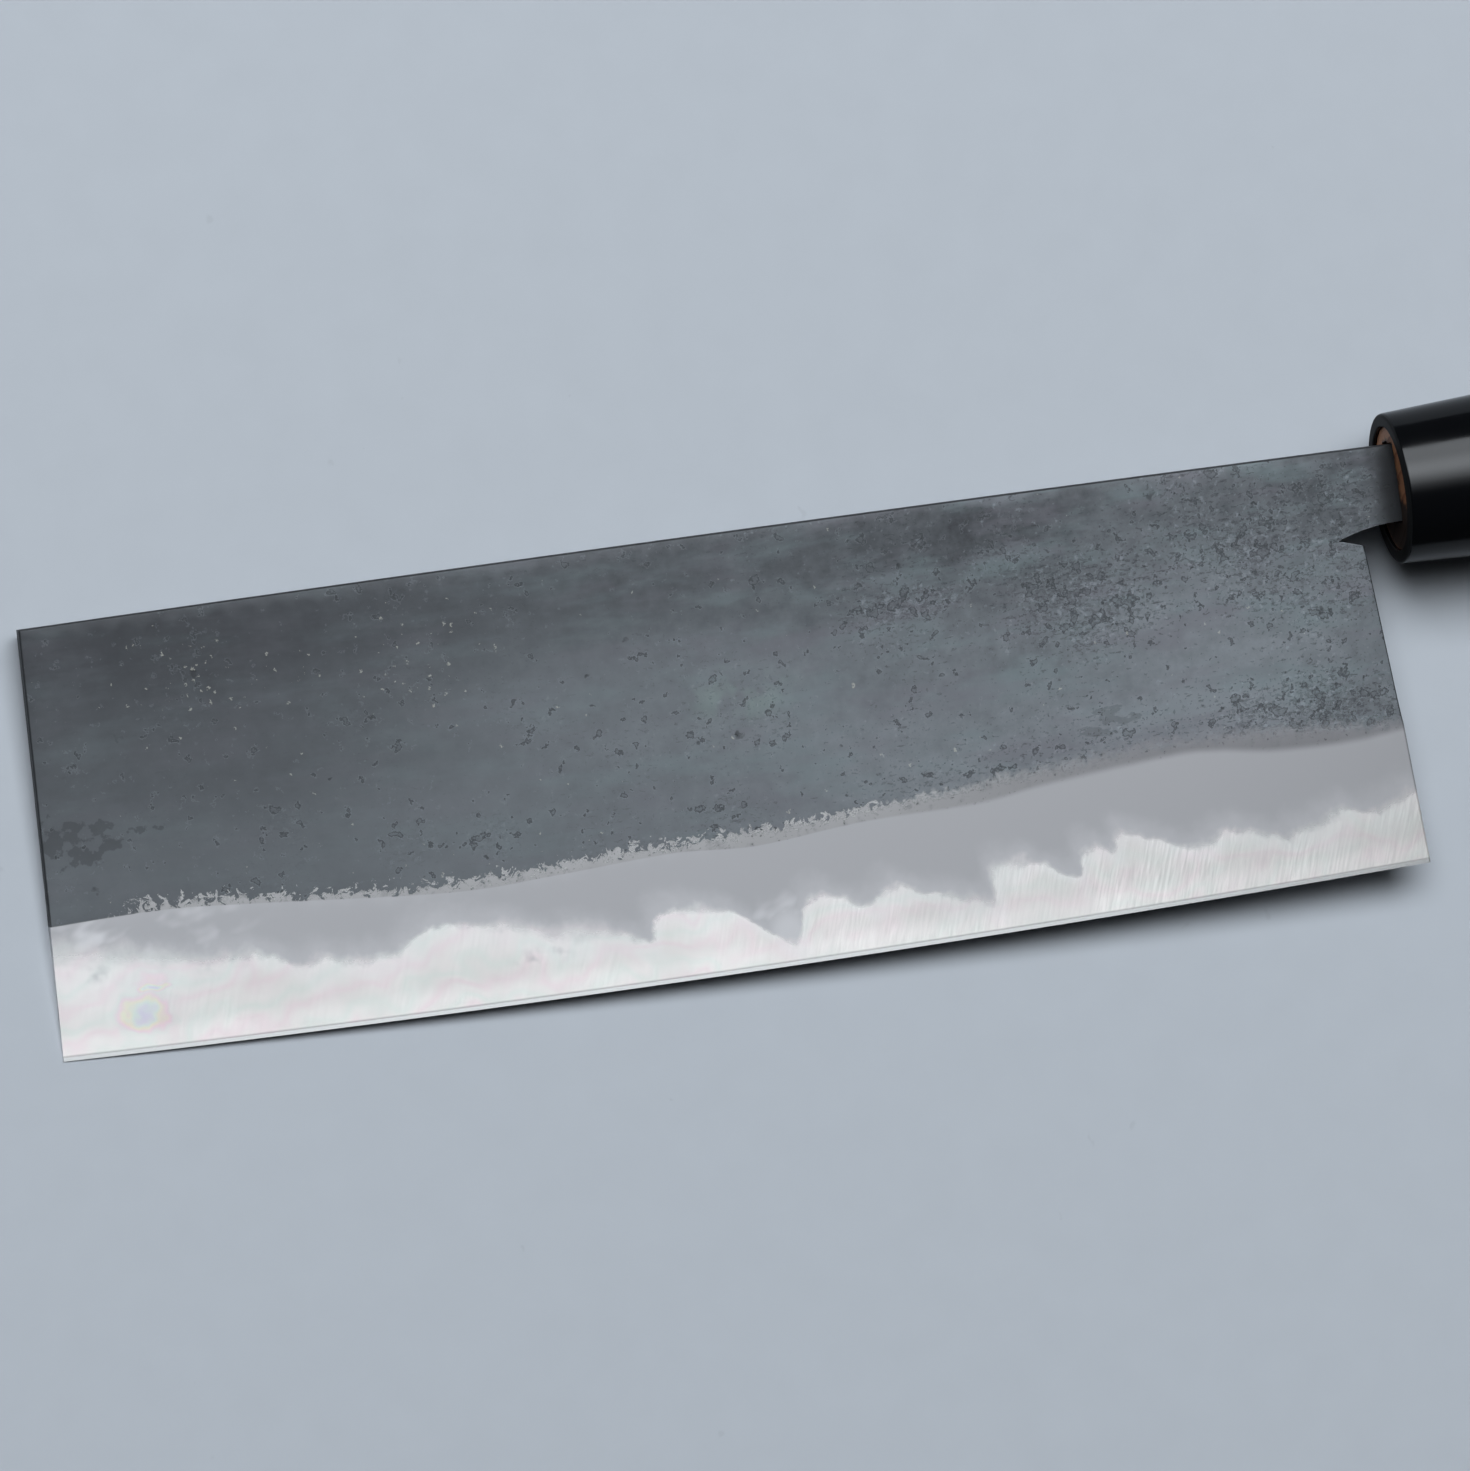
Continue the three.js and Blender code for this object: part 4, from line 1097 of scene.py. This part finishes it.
class CLEAVER_OT_handle(bpy.types.Operator):
    """Build the wooden handle with its tenon and the burnt tang socket"""

    bl_idname = "cleaver.handle"
    bl_label = "Handle"

    def socket_ring(self, blade, handle, share, ragged=0.0):
        """Loop round the tang at a share of its length, in the handle's own frame, nicked by burning."""
        gap = handle.socket_gap if share else handle.mouth_gap
        tang_axis = -handle.axis_depth + blade.tang_length * math.tan(handle.rise)
        x = lerp(blade.ferrule_x() + handle.wood_recess, blade.tang_end_x() + gap, share)
        half = lerp(blade.flat_half(blade.ferrule_x(), 0), blade.tang_end_thickness / 2, share) + gap
        top = lerp(0, tang_axis + blade.tang_end_height / 2, share) + gap
        low = lerp(-blade.neck_height, tang_axis - blade.tang_end_height / 2, share) - gap
        tall = (top - low) / 2
        into_handle = handle_matrix().inverted()
        ring = []
        for i in range(OVAL_SIDES):
            angle = 2 * math.pi * i / OVAL_SIDES
            way = Vector((0, math.cos(angle), math.sin(angle)))
            reach = min(tall / max(abs(way.y), 1e-9), half / max(abs(way.z), 1e-9))
            nick = ragged * (0.5 + noise.noise(way * reach / (0.5 * MM)))
            ring.append(into_handle @ (Vector((x, low + tall, 0)) + way * (reach + nick)))
        return ring

    def execute(self, context):
        blade = context.scene.cleaver_blade
        handle = context.scene.cleaver_handle
        gap, recess = handle.tenon_gap, handle.wood_recess
        grip, joint, butt = handle.ferrule_length + gap, handle.joint_round, handle.butt_round
        rings = [self.socket_ring(blade, handle, share) for share in (1, 0.5, 0.04, 0.01)]
        nicked = self.socket_ring(blade, handle, 0, handle.burnt_edge)
        mouth = [Vector((recess, p.y, p.z)) for p in nicked]
        front = handle.bore(recess, -gap)
        burnt = [1.0] * len(rings)
        for share in (0, 0.2, 0.45, 0.75):
            rings.append([lerp(a, b, share) for a, b in zip(mouth, front)])
            burnt.append(1 - share)
        rings += [handle.bore(s, -gap) for s in steps(recess, grip, TENON_STEP)]
        rings += quarter_round(handle, grip, joint, -1, 3)
        rings += [handle.ring(s) for s in steps(grip + joint, handle.length - butt, GRIP_STEP)[1:]]
        rings += quarter_round(handle, handle.length, butt, 1)[1:]
        burnt += [0.0] * (len(rings) - len(burnt))
        points = [point for ring in rings for point in ring]
        faces = loft(rings)
        faces.append(tuple(reversed(range(OVAL_SIDES))))
        faces.append(tuple(range(len(points) - OVAL_SIDES, len(points))))
        place = knife_matrix() @ handle_matrix()
        piece = add_piece("wooden_grip", points, faces, place, bare_magnolia())
        give(piece, "handle_mm", "FLOAT_VECTOR", [p / MM for p in points])
        give(piece, "burnt", "FLOAT", [burnt[i // OVAL_SIDES] for i in range(len(points))])
        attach(piece, "root")
        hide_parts("handle_body")
        return {"FINISHED"}


def add_lamp(name, box, height, level, fades=(), receivers=None, gloss_only=True):
    """Lamp that shines down from a box of x0, x1, y0 and y1.

    Each fade says where along Y it starts and ends, and the level that it rises from. A card shows in
    gloss alone, and on its receivers alone where it has any.
    """
    scene = bpy.context.scene
    x0, x1, y0, y1 = box
    lamp = bpy.data.lights.new(name, "AREA")
    lamp.shape = "RECTANGLE"
    lamp.size = x1 - x0
    lamp.size_y = y1 - y0
    lamp.energy = math.pi * lamp.size * lamp.size_y  # a strength of 1 is then a brightness of 1
    lamp.use_nodes = True
    lamp.node_tree.nodes.clear()
    add = partial(put, lamp.node_tree)
    strength = level
    for start, end, low in fades:
        across = add("SeparateXYZ", add("NewGeometry", out="Position"), out="Y")
        strength = add("MINIMUM", strength, fade(add, across, start, end, low, level))
    glow = add("Emission", {"Color": scene.cleaver_colours.daylight, "Strength": strength})
    add("OutputLight", {"Surface": glow})
    holder = bpy.data.objects.new(name, lamp)
    holder.location = ((x0 + x1) / 2, (y0 + y1) / 2, height)
    holder.visible_camera = False
    holder.visible_diffuse = not gloss_only
    scene.collection.objects.link(holder)
    if receivers is not None:
        holder.light_linking.receiver_collection = receivers


class CLEAVER_OT_stage(bpy.types.Operator):
    """Set up the floor, the softbox, the room and the camera"""

    bl_idname = "cleaver.stage"
    bl_label = "Studio"

    def execute(self, context):
        scene = context.scene
        stage = scene.cleaver_stage
        scene.view_settings.view_transform = "Standard"
        half = stage.floor_size / 2
        around = ((-half, -half), (half, -half), (half, half), (-half, half))
        corners = [Vector((x, y, 0)) for x, y in around]
        floor = add_piece("floor", corners, [(0, 1, 2, 3)], Matrix(), painted_table())

        layers = bpy.data.collections.new("blade layers")
        grip = bpy.data.collections.new("handle pieces")
        for piece in scene.objects:
            if piece.name.endswith("_layer"):
                layers.objects.link(piece)
            elif piece.name in ("ferrule_collar", "wooden_grip"):
                grip.objects.link(piece)

        # Big softbox on the spine's side, brightest at its far edge
        full, far = (stage.box_height * math.tan(slant) for slant in (stage.box_full, stage.box_far))
        box = (-stage.box_width / 2, stage.box_width / 2, 0, far)
        add_lamp("softbox", box, stage.box_height, stage.box_level, [(0, full, 0)], gloss_only=False)
        # White card over the knife, brightest on the spine's side
        left, right = stage.card_x - stage.card_width / 2, stage.card_x + stage.card_width / 2
        full, far = (stage.card_height * math.tan(slant) for slant in (stage.card_full, stage.card_far))
        fades = [(0, full, stage.near_level), (far, full, 0)]
        add_lamp("white_card", (left, right, 0, far), stage.card_height, stage.card_level, fades)
        # Card that only the handle mirrors, which lets the light on the ferrule fade out
        slants = (-stage.grip_reach, stage.grip_full, stage.grip_far)
        near, full, far = (stage.grip_height * math.tan(slant) for slant in slants)
        fades = [(near, full, 0), (far, full, 0)]
        add_lamp("handle_card", (left, right, near, far), stage.grip_height, stage.grip_level, fades, grip)
        # Cards that only the blade mirrors: in its wide bevel, in its cutting bevel, and three big ones
        # round the set for when it is seen from other sides
        left, right = stage.near_x - stage.near_width / 2, stage.near_x + stage.near_width / 2
        slants = (stage.near_reach, stage.strip_start, stage.strip_end)
        bevel_end, edge_start, edge_end = (-stage.card_height * math.tan(slant) for slant in slants)
        reach, tip_side, grip_side = stage.side_reach, stage.side_left, stage.side_right
        for name, box, level in (
                ("bevel_card", (left, right, bevel_end, 0), stage.near_level),
                ("edge_card", (left, right, edge_end, edge_start), stage.strip_level),
                ("left_card", (tip_side - reach, tip_side, -reach, reach), stage.side_level),
                ("right_card", (grip_side, grip_side + reach, -reach, reach), stage.side_level),
                ("front_card", (tip_side, grip_side, stage.side_near - reach, stage.side_near),
                 stage.side_level)):
            add_lamp(name, box, stage.card_height, level, receivers=layers)

        # Pale walls near the horizon under a dark ceiling
        world = bpy.data.worlds.new("studio room")
        world.use_nodes = True
        world.node_tree.nodes.clear()
        add = partial(put, world.node_tree)
        height = add("SeparateXYZ", add("TexCoord", out="Generated"), out="Z")
        level = fade(add, height, 0.12, 0.45, stage.room_level, stage.ceiling_level)
        glow = add("Background", {"Color": scene.cleaver_colours.table, "Strength": level})
        add("OutputWorld", {"Surface": glow})
        scene.world = world

        right = Vector((math.cos(stage.roll), -math.sin(stage.roll), 0))
        up = Vector((math.sin(stage.roll), math.cos(stage.roll), 0))
        back = Vector((0, 0, 1)) - right * math.tan(stage.lean_left) + up * math.tan(stage.lean_up)
        back.normalize()
        side = up.cross(back).normalized()
        camera = bpy.data.objects.new("camera", bpy.data.cameras.new("camera"))
        camera.data.sensor_width = 36
        camera.data.lens = stage.lens
        camera.matrix_world = Matrix((side, back.cross(side), back)).transposed().to_4x4()
        camera.location = Vector((stage.aim_x, stage.aim_y, 0)) + back * stage.distance
        scene.collection.objects.link(camera)
        scene.camera = camera
        return {"FINISHED"}


class CLEAVER_PT_panel(bpy.types.Panel):
    """Steps and settings of the cleaver"""

    bl_idname = "CLEAVER_PT_panel"
    bl_label = "Vegetable cleaver"
    bl_space_type = "VIEW_3D"
    bl_region_type = "UI"
    bl_category = "Cleaver"

    def draw(self, context):
        for step in STEPS:
            self.layout.operator(step.bl_idname)
        for settings in GROUPS:
            group = getattr(context.scene, settings)
            column = self.layout.column()
            for name in group.__annotations__:
                column.prop(group, name)


STEPS = (CLEAVER_OT_core, CLEAVER_OT_cladding, CLEAVER_OT_ferrule, CLEAVER_OT_handle, CLEAVER_OT_stage)
GROUPS = {
    "cleaver_blade": CleaverBlade,
    "cleaver_handle": CleaverHandle,
    "cleaver_colours": CleaverColours,
    "cleaver_stage": CleaverStage,
}


def register():
    for kind in (*GROUPS.values(), *STEPS, CLEAVER_PT_panel):
        bpy.utils.register_class(kind)
    for name, kind in GROUPS.items():
        setattr(bpy.types.Scene, name, PointerProperty(type=kind))


def unregister():
    for name in GROUPS:
        delattr(bpy.types.Scene, name)
    for kind in (CLEAVER_PT_panel, *reversed(STEPS), *reversed(GROUPS.values())):
        bpy.utils.unregister_class(kind)


def main():
    register()
    bpy.ops.cleaver.core()
    bpy.ops.cleaver.cladding()
    bpy.ops.cleaver.ferrule()
    bpy.ops.cleaver.handle()
    bpy.ops.cleaver.stage()


if __name__ == "__main__":
    main()
